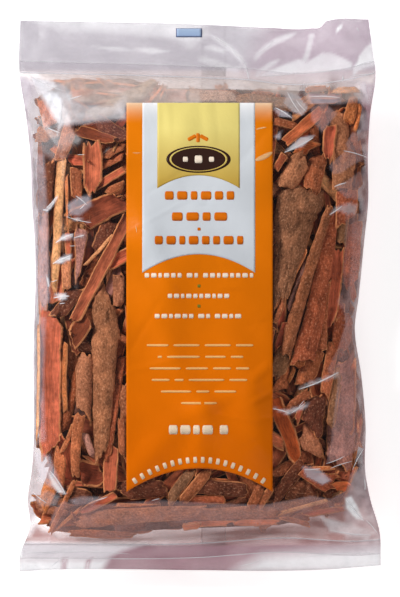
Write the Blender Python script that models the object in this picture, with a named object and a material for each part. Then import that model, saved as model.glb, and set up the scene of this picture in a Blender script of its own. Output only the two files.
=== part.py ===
"""Clear film bag of cassia bark, sealed flat across its head and its foot, lying on its back.

The film is one tube, so the bag is one solid: a pillow that the bark fills, between two flat
seals that end in the loose flap of the head and the narrow hem of the foot. The print on its
front is a thin skin that follows the pillow. The bag lies along Y with its head at +Y, rests
on z = 0, and its box is centred on the origin.
"""

import bmesh
import bpy
import numpy as np

MM = 0.001

# Heights over the floor, and how far each sheet of film bulges from the plane of the seals
SEAL_HEIGHT = 20 * MM
FRONT_BULGE = 28 * MM
BACK_BULGE = 24 * MM
FLAP_DROOP, FLAP_LENGTH = 7 * MM, 30 * MM
HEM_DROOP, HEM_LENGTH = 4 * MM, 15 * MM
FILM_HALF = 0.4 * MM

# Film's outline in millimetres: both ends as (x, y), then both sides as (y, x)
FOOT_END = ((-100, -152.8), (-88, -152.1), (0, -152.0), (42, -152.4), (70, -151.6), (100, -149.2))
HEAD_END = ((-99.5, 152.1), (0, 150.0), (38, 148.2), (61, 147.9), (67.5, 149.2), (69.3, 151.4),
            (73, 152.5), (93.3, 152.8))
LEFT_SIDE = ((-152.8, -100), (-145, -99.8), (-127, -93.9), (-113.6, -95.2), (-96, -93.0),
             (-31, -92.1), (30, -91.4), (50, -92.9), (77, -93.8), (103, -96.8), (122, -99.8),
             (152.1, -99.5))
RIGHT_SIDE = ((-149.2, 100), (-131.3, 99.4), (-112, 94.0), (-100, 91.7), (-70, 91.5),
              (-45, 89.3), (-16, 85.7), (-2.5, 87.5), (31, 90.9), (50, 92.9), (80, 92.9),
              (100, 94.1), (124, 97.0), (135, 95.5), (152.8, 93.3))

# Lines across the film in millimetres, as (x, y), where the pillow starts at either seal
FOOT_SEAL = ((-100, -137.5), (0, -137.1), (45, -134.2), (90, -135.8), (100, -135.0))
HEAD_SEAL = ((-100, 123.4), (0, 120.6), (26, 119.4), (50, 116.7), (80, 119.2), (100, 124.0))

# How full the pillow is: the power and the root of its profile along the bag and across it
ALONG_POWER, ALONG_ROOT = 3.0, 0.66
ACROSS_POWER, ACROSS_ROOT = 2.6, 0.52
EAR_ROOT = 0.6

# Bark that presses on the front sheet, as soft ridges that lean off the bag's length
RIDGES, RIDGE_SEED, RIDGE_LEAN = 46, 11, 0.75
RIDGE_FIELD = (84 * MM, 115 * MM)
RIDGE_HEIGHT = (0.9 * MM, 2.1 * MM)
RIDGE_LENGTH = (22 * MM, 42 * MM)
RIDGE_WIDTH = (7 * MM, 11 * MM)

# Tucks where the film gathers at the ends of the seals, in millimetres: x, y, run in x, run in y, depth
TUCKS = ((-93, 117, 24, -39, 2.6), (-95, -131, 22, 33, 2.6), (91, 117, -23, -38, 2.2),
         (95, -130, -24, 34, 2.6))
TUCK_WIDTH = 5.5 * MM

# Dents where the film is pinched in at its sides, in millimetres: x, y, width, depth
PINCHES = ((88, -15, 15, 2.4), (-94, 43, 12, 1.6))

# Buckles of the loose flap, in millimetres: x, width, height
BUCKLES = ((-52, 26, 0.9), (-8, 15, -0.7), (30, 12, 1.6), (57, 11, -1.3), (82, 10, 1.2))

# Printed panel: its sides, its head, the corners of its foot and the arch cut between them
PANEL_LEFT, PANEL_RIGHT, PANEL_HEAD = -40.5 * MM, 40.0 * MM, 106.2 * MM
PANEL_CORNER, PANEL_ARCH = -108.2 * MM, 13.0 * MM
PANEL_GAP, PANEL_THICK = 0.5 * MM, 0.35 * MM

# Rows and columns of faces
BAG_COLUMNS, HEM_ROWS, PILLOW_ROWS, FLAP_ROWS = 40, 2, 55, 5
PANEL_COLUMNS, PANEL_ROWS = 14, 36
SHARP_ANGLE = np.radians(50)


def smooth_through(points, at):
    """A cubic curve through pairs in millimetres, with a slope at each pair that its neighbours give."""
    place, value = np.array(points, float).T * MM
    slope = np.gradient(value, place)
    at = np.clip(at, place[0], place[-1])
    i = np.clip(np.searchsorted(place, at) - 1, 0, len(place) - 2)
    step = place[i + 1] - place[i]
    t = (at - place[i]) / step
    from_left = (1 + 2 * t) * (1 - t) ** 2 * value[i] + t * (1 - t) ** 2 * step * slope[i]
    from_right = t**2 * (3 - 2 * t) * value[i + 1] - t**2 * (1 - t) * step * slope[i + 1]
    return from_left + from_right


def side_to_side(y):
    """The film's middle line and its half width at y."""
    left, right = smooth_through(LEFT_SIDE, y), smooth_through(RIGHT_SIDE, y)
    return (left + right) / 2, (right - left) / 2


def fullness(x, y):
    """How far the pillow has filled out: 0 at the seals and the sides, 1 at its middle."""
    foot, head = smooth_through(FOOT_SEAL, x), smooth_through(HEAD_SEAL, x)
    along = np.clip(np.abs(2 * (y - foot) / (head - foot) - 1), 0, 1)
    middle, half = side_to_side(y)
    across = np.clip(np.abs(x - middle) / half, 0, 1)
    root = ACROSS_ROOT + EAR_ROOT * along**4
    return (1 - along**ALONG_POWER) ** ALONG_ROOT * (1 - across**ACROSS_POWER) ** root


def ridges(x, y):
    """Height of the bark's ridges, each a long flat bell along its run and a round one across it."""
    pick = np.random.default_rng(RIDGE_SEED)
    height = np.zeros_like(x)
    for _ in range(RIDGES):
        at_x, at_y = (pick.uniform(-far, far) for far in RIDGE_FIELD)
        lean = pick.normal(0, RIDGE_LEAN)
        tall, long, wide = (pick.uniform(*size) for size in (RIDGE_HEIGHT, RIDGE_LENGTH, RIDGE_WIDTH))
        along = (x - at_x) * np.sin(lean) + (y - at_y) * np.cos(lean)
        across = (x - at_x) * np.cos(lean) - (y - at_y) * np.sin(lean)
        height += tall * np.exp(-((along / long) ** 4) - (across / wide) ** 2)
    return height


def tucks(x, y):
    """Depth of the grooves that start at the ends of the seals, run inwards and die out."""
    depth = np.zeros_like(x)
    for tuck in TUCKS:
        at_x, at_y, run_x, run_y, deep = (value * MM for value in tuck)
        run = np.hypot(run_x, run_y)
        along = ((x - at_x) * run_x + (y - at_y) * run_y) / run**2
        across = ((x - at_x) * run_y - (y - at_y) * run_x) / run
        fade = np.clip(5 * along, 0, 1) * np.clip(1 - along, 0, 1)
        depth += deep * fade * np.exp(-((across / TUCK_WIDTH) ** 2))
    return depth


def pinches(x, y):
    """Depth of the dents at the sides, each a round bell."""
    depth = np.zeros_like(x)
    for pinch in PINCHES:
        at_x, at_y, wide, deep = (value * MM for value in pinch)
        depth += deep * np.exp(-((x - at_x) ** 2 + (y - at_y) ** 2) / wide**2)
    return depth


def seal_plane(x, y):
    """Height that both sheets bulge from: level along the pillow, then down the flap and the hem."""
    flap = np.clip(y - smooth_through(HEAD_SEAL, x), 0, None) / FLAP_LENGTH
    hem = np.clip(smooth_through(FOOT_SEAL, x) - y, 0, None) / HEM_LENGTH
    buckle = np.zeros_like(x)
    for at_x, wide, tall in BUCKLES:
        buckle += tall * MM * np.exp(-(((x / MM - at_x) / wide) ** 2))
    return SEAL_HEIGHT - FLAP_DROOP * flap**1.5 - HEM_DROOP * hem**1.5 + buckle * flap


def front_height(x, y):
    """Height of the front sheet: the plane of the seals, the pillow's bulge and the bark, less the dents."""
    full = fullness(x, y)
    pressed = ridges(x, y) * np.clip(3 * full - 0.6, 0, 1)
    gathered = (tucks(x, y) + pinches(x, y)) * np.clip(3 * full, 0, 1)
    return seal_plane(x, y) + FRONT_BULGE * full + pressed - gathered


def back_height(x, y):
    """Height of the back sheet before the floor flattens it."""
    return seal_plane(x, y) - BACK_BULGE * fullness(x, y)


def bag_point(u, v):
    """The (x, y) of a point of the film, from u across it and v along it, both from -1 to 1.

    Rows run at even steps down the hem and the flap, and lie closer at the ends of the pillow.
    The sides depend on y and the seals on x, so the two are settled in turn, a few times over.
    """
    rows = HEM_ROWS + PILLOW_ROWS + FLAP_ROWS
    line = np.interp((v + 1) / 2 * rows, (0, HEM_ROWS, HEM_ROWS + PILLOW_ROWS, rows), (0, 1, 2, 3))
    in_hem, in_flap = np.clip(line, 0, 1), np.clip(line - 2, 0, 1)
    in_pillow = np.clip(line - 1, 0, 1)
    in_pillow = in_pillow - 0.09 * np.sin(2 * np.pi * in_pillow)
    y = np.zeros_like(u)
    for _ in range(6):
        middle, half = side_to_side(y)
        x = middle + half * np.sin(u * np.pi / 2)
        foot_end, foot, head, head_end = (
            smooth_through(points, x) for points in (FOOT_END, FOOT_SEAL, HEAD_SEAL, HEAD_END)
        )
        y = foot_end + (foot - foot_end) * in_hem + (head - foot) * in_pillow + (head_end - head) * in_flap
    return x, y


def panel_point(u, v):
    """The (x, y) of a point of the printed panel, whose foot is an arch between its two corners."""
    x = PANEL_LEFT + (PANEL_RIGHT - PANEL_LEFT) * (u + 1) / 2
    foot = PANEL_CORNER + PANEL_ARCH * (1 - u**2)
    return x, foot + (PANEL_HEAD - foot) * (v + 1) / 2


def add_solid(name, place, lower, upper, columns, rows, finish):
    """One closed solid: a grid placed by place(u, v), set at lower(x, y) and extruded to upper(x, y)."""
    shape = bmesh.new()
    bmesh.ops.create_grid(shape, x_segments=columns, y_segments=rows, size=1)
    under = list(shape.verts)
    u, v = np.array([corner.co[:2] for corner in under]).T
    x, y = place(u, v)
    low, high = lower(x, y), upper(x, y)
    index = {tuple(corner.co): i for i, corner in enumerate(under)}
    made = bmesh.ops.extrude_face_region(shape, geom=shape.faces[:])["geom"]
    over = [corner for corner in made if isinstance(corner, bmesh.types.BMVert)]
    for corner in over:
        i = index[tuple(corner.co)]
        corner.co = x[i], y[i], high[i]
    for i, corner in enumerate(under):
        corner.co = x[i], y[i], low[i]
    bmesh.ops.recalc_face_normals(shape, faces=shape.faces[:])
    mesh = bpy.data.meshes.new(name)
    shape.to_mesh(mesh)
    shape.free()
    mesh.materials.append(finish)
    mesh.shade_smooth()
    mesh.set_sharp_from_angle(angle=SHARP_ANGLE)
    bpy.context.scene.collection.objects.link(bpy.data.objects.new(name, mesh))


def add_finish(name, colour, roughness):
    """A Principled material of one colour, given as linear red, green and blue."""
    finish = bpy.data.materials.new(name)
    finish.use_nodes = True
    shader = finish.node_tree.nodes["Principled BSDF"]
    shader.inputs["Base Color"].default_value = (*colour, 1)
    shader.inputs["Roughness"].default_value = roughness
    return finish


def add_bag():
    """The filled bag, which the floor flattens where it lies."""
    add_solid(
        "bag",
        bag_point,
        lambda x, y: np.maximum(back_height(x, y) - FILM_HALF, 0),
        lambda x, y: front_height(x, y) + FILM_HALF,
        BAG_COLUMNS,
        HEM_ROWS + PILLOW_ROWS + FLAP_ROWS,
        add_finish("bark_in_clear_film", (0.26, 0.10, 0.05), 0.3),
    )


def add_printed_panel():
    """The print on the front sheet, as a thin skin just clear of the bag."""
    add_solid(
        "printed_panel",
        panel_point,
        lambda x, y: front_height(x, y) + FILM_HALF + PANEL_GAP,
        lambda x, y: front_height(x, y) + FILM_HALF + PANEL_GAP + PANEL_THICK,
        PANEL_COLUMNS,
        PANEL_ROWS,
        add_finish("orange_print", (0.66, 0.15, 0.005), 0.3),
    )


for old in list(bpy.data.objects):
    bpy.data.objects.remove(old)
add_bag()
add_printed_panel()
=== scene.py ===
"""Looks of a sealed bag of cassia bark that lies on its back: film, print and the bark inside."""

import bpy
import numpy as np
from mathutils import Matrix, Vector


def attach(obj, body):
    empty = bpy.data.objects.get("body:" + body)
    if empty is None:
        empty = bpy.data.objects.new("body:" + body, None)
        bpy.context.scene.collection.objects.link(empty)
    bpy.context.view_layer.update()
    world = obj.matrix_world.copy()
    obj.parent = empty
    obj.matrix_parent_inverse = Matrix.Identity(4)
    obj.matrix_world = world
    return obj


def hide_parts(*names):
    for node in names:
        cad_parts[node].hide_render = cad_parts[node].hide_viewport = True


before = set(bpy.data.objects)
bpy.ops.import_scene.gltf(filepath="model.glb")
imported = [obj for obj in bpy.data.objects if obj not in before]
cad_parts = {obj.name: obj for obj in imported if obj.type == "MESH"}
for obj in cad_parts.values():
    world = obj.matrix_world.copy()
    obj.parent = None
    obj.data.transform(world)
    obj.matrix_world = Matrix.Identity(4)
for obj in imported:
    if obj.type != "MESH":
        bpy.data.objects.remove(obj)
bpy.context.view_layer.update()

# The form of the bag: one tube of clear film, filled with bark and sealed flat across its head
# and its foot. The bark presses on it from inside as soft ridges, and it gathers into tucks
# where the seals end. The solid behind this scene is made from the same sizes.
MM = 0.001
SEAL_HEIGHT, FRONT_BULGE, BACK_BULGE = 20 * MM, 28 * MM, 24 * MM
FLAP_DROOP, FLAP_LENGTH = 7 * MM, 30 * MM
HEM_DROOP, HEM_LENGTH = 4 * MM, 15 * MM
SOLID_SKIN = 0.4 * MM
FOOT_END = ((-100, -152.8), (-88, -152.1), (0, -152.0), (42, -152.4), (70, -151.6), (100, -149.2))
HEAD_END = ((-99.5, 152.1), (0, 150.0), (38, 148.2), (61, 147.9), (67.5, 149.2), (69.3, 151.4),
            (73, 152.5), (93.3, 152.8))
LEFT_SIDE = ((-152.8, -100), (-145, -99.8), (-127, -93.9), (-113.6, -95.2), (-96, -93.0),
             (-31, -92.1), (30, -91.4), (50, -92.9), (77, -93.8), (103, -96.8), (122, -99.8),
             (152.1, -99.5))
RIGHT_SIDE = ((-149.2, 100), (-131.3, 99.4), (-112, 94.0), (-100, 91.7), (-70, 91.5),
              (-45, 89.3), (-16, 85.7), (-2.5, 87.5), (31, 90.9), (50, 92.9), (80, 92.9),
              (100, 94.1), (124, 97.0), (135, 95.5), (152.8, 93.3))
FOOT_SEAL = ((-100, -137.5), (0, -137.1), (45, -134.2), (90, -135.8), (100, -135.0))
HEAD_SEAL = ((-100, 123.4), (0, 120.6), (26, 119.4), (50, 116.7), (80, 119.2), (100, 124.0))
ALONG_POWER, ALONG_ROOT = 3.0, 0.66
ACROSS_POWER, ACROSS_ROOT, EAR_ROOT = 2.6, 0.52, 0.6
RIDGES, RIDGE_SEED, RIDGE_LEAN = 46, 11, 0.75
RIDGE_FIELD = (84 * MM, 115 * MM)
RIDGE_HEIGHT, RIDGE_LENGTH = (0.9 * MM, 2.1 * MM), (22 * MM, 42 * MM)
RIDGE_WIDTH = (7 * MM, 11 * MM)
TUCKS = ((-93, 117, 24, -39, 2.6), (-95, -131, 22, 33, 2.6), (91, 117, -23, -38, 2.2),
         (95, -130, -24, 34, 2.6))
TUCK_WIDTH = 5.5 * MM
PINCHES = ((88, -15, 15, 2.4), (-94, 43, 12, 1.6))
BUCKLES = ((-52, 26, 0.9), (-8, 15, -0.7), (30, 12, 1.6), (57, 11, -1.3), (82, 10, 1.2))
HEM_PILLOW_AND_FLAP = (-1, -0.9, 0.8, 1)
FINER_ENDS, SETTLES = 0.07, 6


def smooth_through(points, at):
    """A cubic curve through pairs in millimetres, with a slope at each pair that its neighbours give."""
    place, value = np.array(points, float).T * MM
    slope = np.gradient(value, place)
    at = np.clip(at, place[0], place[-1])
    i = np.clip(np.searchsorted(place, at) - 1, 0, len(place) - 2)
    step = place[i + 1] - place[i]
    t = (at - place[i]) / step
    from_left = (1 + 2 * t) * (1 - t) ** 2 * value[i] + t * (1 - t) ** 2 * step * slope[i]
    from_right = t**2 * (3 - 2 * t) * value[i + 1] - t**2 * (1 - t) * step * slope[i + 1]
    return from_left + from_right


def side_to_side(y):
    """The film's middle line and its half width at y."""
    left, right = smooth_through(LEFT_SIDE, y), smooth_through(RIGHT_SIDE, y)
    return (left + right) / 2, (right - left) / 2


def fullness(x, y):
    """How far the pillow has filled out: 0 at the seals and the sides, 1 at its middle.

    It is (1 - a^p)^q along the bag times the same across it, a being the way from middle to end.
    """
    foot, head = smooth_through(FOOT_SEAL, x), smooth_through(HEAD_SEAL, x)
    along = np.clip(np.abs(2 * (y - foot) / (head - foot) - 1), 0, 1)
    middle, half = side_to_side(y)
    across = np.clip(np.abs(x - middle) / half, 0, 1)
    root = ACROSS_ROOT + EAR_ROOT * along**4
    return (1 - along**ALONG_POWER) ** ALONG_ROOT * (1 - across**ACROSS_POWER) ** root


def ridges(x, y):
    """Height of the bark's ridges, each a long flat bell along its run and a round one across it."""
    pick = np.random.default_rng(RIDGE_SEED)
    height = np.zeros_like(x)
    for _ in range(RIDGES):
        at_x, at_y = (pick.uniform(-far, far) for far in RIDGE_FIELD)
        lean = pick.normal(0, RIDGE_LEAN)
        tall, long, wide = (pick.uniform(*size) for size in (RIDGE_HEIGHT, RIDGE_LENGTH, RIDGE_WIDTH))
        along = (x - at_x) * np.sin(lean) + (y - at_y) * np.cos(lean)
        across = (x - at_x) * np.cos(lean) - (y - at_y) * np.sin(lean)
        height += tall * np.exp(-((along / long) ** 4) - (across / wide) ** 2)
    return height


def dents(x, y):
    """Depth of the tucks, which start at the ends of the seals and die out, and of the pinched sides."""
    depth = np.zeros_like(x)
    for tuck in TUCKS:
        at_x, at_y, run_x, run_y, deep = (value * MM for value in tuck)
        run = np.hypot(run_x, run_y)
        along = ((x - at_x) * run_x + (y - at_y) * run_y) / run**2
        across = ((x - at_x) * run_y - (y - at_y) * run_x) / run
        fade = np.clip(5 * along, 0, 1) * np.clip(1 - along, 0, 1)
        depth += deep * fade * np.exp(-((across / TUCK_WIDTH) ** 2))
    for pinch in PINCHES:
        at_x, at_y, wide, deep = (value * MM for value in pinch)
        depth += deep * np.exp(-((x - at_x) ** 2 + (y - at_y) ** 2) / wide**2)
    return depth


def seal_plane(x, y):
    """Height that both sheets bulge from: level along the pillow, then down the flap and the hem."""
    flap = np.clip(y - smooth_through(HEAD_SEAL, x), 0, None) / FLAP_LENGTH
    hem = np.clip(smooth_through(FOOT_SEAL, x) - y, 0, None) / HEM_LENGTH
    buckle = np.zeros_like(x)
    for at_x, wide, tall in BUCKLES:
        buckle += tall * MM * np.exp(-(((x / MM - at_x) / wide) ** 2))
    return SEAL_HEIGHT - FLAP_DROOP * flap**1.5 - HEM_DROOP * hem**1.5 + buckle * flap


def front_form(x, y):
    """Height of the front sheet without its creases."""
    full = fullness(x, y)
    pressed = ridges(x, y) * np.clip(3 * full - 0.6, 0, 1) - dents(x, y) * np.clip(3 * full, 0, 1)
    return seal_plane(x, y) + FRONT_BULGE * full + pressed + SOLID_SKIN


def back_form(x, y):
    """Height of the back sheet, which the floor flattens."""
    return np.maximum(seal_plane(x, y) - BACK_BULGE * fullness(x, y) - SOLID_SKIN, 0)


def bag_point(u, v):
    """The (x, y) of a point of the film, from u across it and v along it, both from -1 to 1.

    The sides depend on y and the ends on x, so the two are settled in turn, a few times over.
    """
    line = np.interp(v, HEM_PILLOW_AND_FLAP, (0, 1, 2, 3))
    in_hem, in_pillow, in_flap = (np.clip(line - start, 0, 1) for start in (0, 1, 2))
    in_pillow = in_pillow - FINER_ENDS * np.sin(2 * np.pi * in_pillow)
    y = np.zeros_like(u)
    for _ in range(SETTLES):
        middle, half = side_to_side(y)
        x = middle + half * np.sin(u * np.pi / 2)
        foot_end, foot, head, head_end = (
            smooth_through(points, x) for points in (FOOT_END, FOOT_SEAL, HEAD_SEAL, HEAD_END)
        )
        y = foot_end + (foot - foot_end) * in_hem + (head - foot) * in_pillow + (head_end - head) * in_flap
    return x, y


# The film: one sheet of clear plastic, closed to a tube round the bark and welded at both ends.
# It is milky where it lies slack past the bark, and creased all over by what it holds; over that
# its veils carry painted highlights and painted shade. Places on it were read off the photograph
# in pixels, and the size of a pixel makes them places on the bag.
PHOTO_MIDDLE, PHOTO_PIXEL = (200.0, 295.45), 0.5528 * MM


def from_photo(column, row):
    """The (x, y) on the bag of a pixel of the photograph: its way from the middle times a pixel's size."""
    return (
        (np.asarray(column, float) - PHOTO_MIDDLE[0]) * PHOTO_PIXEL,
        (PHOTO_MIDDLE[1] - np.asarray(row, float)) * PHOTO_PIXEL,
    )


def linear(red, green, blue):
    """A colour of 0 to 255 as linear light: ((c + 0.055) / 1.055)^2.4, or c / 12.92 near black."""
    c = np.array((red, green, blue)) / 255
    return tuple(np.where(c > 0.04045, ((c + 0.055) / 1.055) ** 2.4, c / 12.92))


def sheet_quads(rows, columns):
    """The quads of a grid of points, turned so that they face up where x runs with the columns."""
    corner = np.arange(rows * columns).reshape(rows, columns)
    return np.stack((corner[:-1, :-1], corner[:-1, 1:], corner[1:, 1:], corner[1:, :-1]), -1).reshape(-1, 4)


def sewn(over, under):
    """Points and quads of the closed piece between two grids, and how many quads lie on each sheet."""
    rows, columns = over.shape[:2]
    corner = np.arange(rows * columns).reshape(rows, columns)
    rim = np.concatenate((corner[0, :-1], corner[:-1, -1], corner[-1, :0:-1], corner[:0:-1, 0]))
    after, far = np.roll(rim, -1), rows * columns
    faces = sheet_quads(rows, columns)
    sides = np.stack((rim + far, after + far, after, rim), -1)
    points = np.concatenate((over.reshape(-1, 3), under.reshape(-1, 3)))
    return points, np.concatenate((faces, faces[:, ::-1] + far, sides)), len(faces)


def add_piece(name, points, quads, material, sharp=None, **attributes):
    """A mesh object from arrays. An attribute has one row for each point, or for each quad."""
    mesh = bpy.data.meshes.new(name)
    mesh.vertices.add(len(points))
    mesh.vertices.foreach_set("co", points.ravel())
    mesh.loops.add(quads.size)
    mesh.loops.foreach_set("vertex_index", quads.ravel())
    mesh.polygons.add(len(quads))
    mesh.polygons.foreach_set("loop_start", np.arange(0, quads.size, 4))
    smooth = np.ones(len(quads), bool) if sharp is None else ~sharp
    mesh.polygons.foreach_set("use_smooth", smooth)
    for label, values in attributes.items():
        values = np.asarray(values, float)
        domain = "POINT" if len(values) == len(points) else "FACE"
        if values.ndim == 2 and values.shape[1] == 2:
            layer = mesh.uv_layers.new(name=label)
            layer.data.foreach_set("uv", values[quads.ravel()].ravel())
        elif values.ndim == 2:
            layer = mesh.attributes.new(label, "FLOAT_COLOR", domain)
            layer.data.foreach_set("color", np.c_[values, np.ones(len(values))].ravel())
        else:
            layer = mesh.attributes.new(label, "FLOAT", domain)
            layer.data.foreach_set("value", values)
    mesh.materials.append(material)
    mesh.update(calc_edges=True)
    piece = bpy.data.objects.new(name, mesh)
    bpy.context.scene.collection.objects.link(piece)
    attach(piece, "root")
    return piece


class Nodes:
    """A node tree, with short ways to add a node and to join two."""

    def __init__(self, tree):
        self.tree = tree

    def add(self, kind, inputs=None, **settings):
        """A node of one kind, with its settings and with a value or a link for each input."""
        node = self.tree.nodes.new(kind)
        for name, value in settings.items():
            setattr(node, name, value)
        for name, value in (inputs or {}).items():
            self.feed(node.inputs[name], value)
        return node

    def feed(self, socket, value):
        """Links a socket to an output, or sets its value."""
        if isinstance(value, bpy.types.NodeSocket):
            self.tree.links.new(value, socket)
        elif isinstance(value, tuple) and len(value) == 3 and socket.type == "RGBA":
            socket.default_value = (*value, 1)
        else:
            socket.default_value = value

    def math(self, operation, *values, clamp=False):
        """The result of one sum, such as a product, on up to three values."""
        node = self.add("ShaderNodeMath", operation=operation, use_clamp=clamp)
        for i, value in enumerate(values):
            self.feed(node.inputs[i], value)
        return node.outputs[0]

    def blend(self, share, first, second, mode="MIX"):
        """A share of the second colour laid over the first."""
        node = self.add("ShaderNodeMix", data_type="RGBA", blend_type=mode)
        for i, value in ((0, share), (6, first), (7, second)):
            self.feed(node.inputs[i], value)
        return node.outputs[2]

    def span(self, value, low, high, to_low=0.0, to_high=1.0):
        """A value between low and high as its place between two others."""
        node = self.add("ShaderNodeMapRange", {"Value": value, "From Min": low, "From Max": high,
                                               "To Min": to_low, "To Max": to_high})
        return node.outputs["Result"]

    def noise(self, vector, scale, detail=3.0, roughness=0.55, stretch=None):
        """Soft random patches, with so many to the metre, that may be stretched."""
        if stretch is not None:
            vector = self.add("ShaderNodeMapping", {"Vector": vector, "Scale": stretch}).outputs[0]
        return self.add("ShaderNodeTexNoise", {"Vector": vector, "Scale": scale, "Detail": detail,
                                               "Roughness": roughness}).outputs[0]

    def named(self, attribute, output="Fac"):
        """What a named attribute of the mesh holds at each point."""
        return self.add("ShaderNodeAttribute", attribute_name=attribute).outputs[output]


def new_material(name):
    """A material with an output and a Principled shader, and its node tree."""
    material = bpy.data.materials.new(name)
    material.use_nodes = True
    nodes = Nodes(material.node_tree)
    return material, nodes, material.node_tree.nodes["Principled BSDF"]


def new_effect(name, inputs, output):
    """A node group for several materials, with (name, value) inputs and a (name, socket type) output."""
    group = bpy.data.node_groups.new(name, "ShaderNodeTree")
    for label, value in inputs:
        socket = group.interface.new_socket(label, in_out="INPUT", socket_type="NodeSocketFloat")
        socket.default_value = value
    group.interface.new_socket(output[0], in_out="OUTPUT", socket_type=output[1])
    nodes = Nodes(group)
    return group, nodes, nodes.add("NodeGroupInput").outputs, nodes.add("NodeGroupOutput").inputs[0]


def wander(pick, shape, lumps):
    """Random heights on a grid, about -1 to 1: a lattice of lumps, eased into one another."""
    rows, columns = (np.linspace(0, count, size) for count, size in zip(lumps, shape))
    lattice = pick.uniform(-1, 1, (lumps[0] + 2, lumps[1] + 2))
    i, j = rows.astype(int), columns.astype(int)
    to_row, to_column = (rows - i)[:, None], (columns - j)[None, :]
    to_row, to_column = (way**2 * (3 - 2 * way) for way in (to_row, to_column))
    near = lattice[i][:, j] * (1 - to_column) + lattice[i][:, j + 1] * to_column
    far = lattice[i + 1][:, j] * (1 - to_column) + lattice[i + 1][:, j + 1] * to_column
    return near * (1 - to_row) + far * to_row
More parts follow.
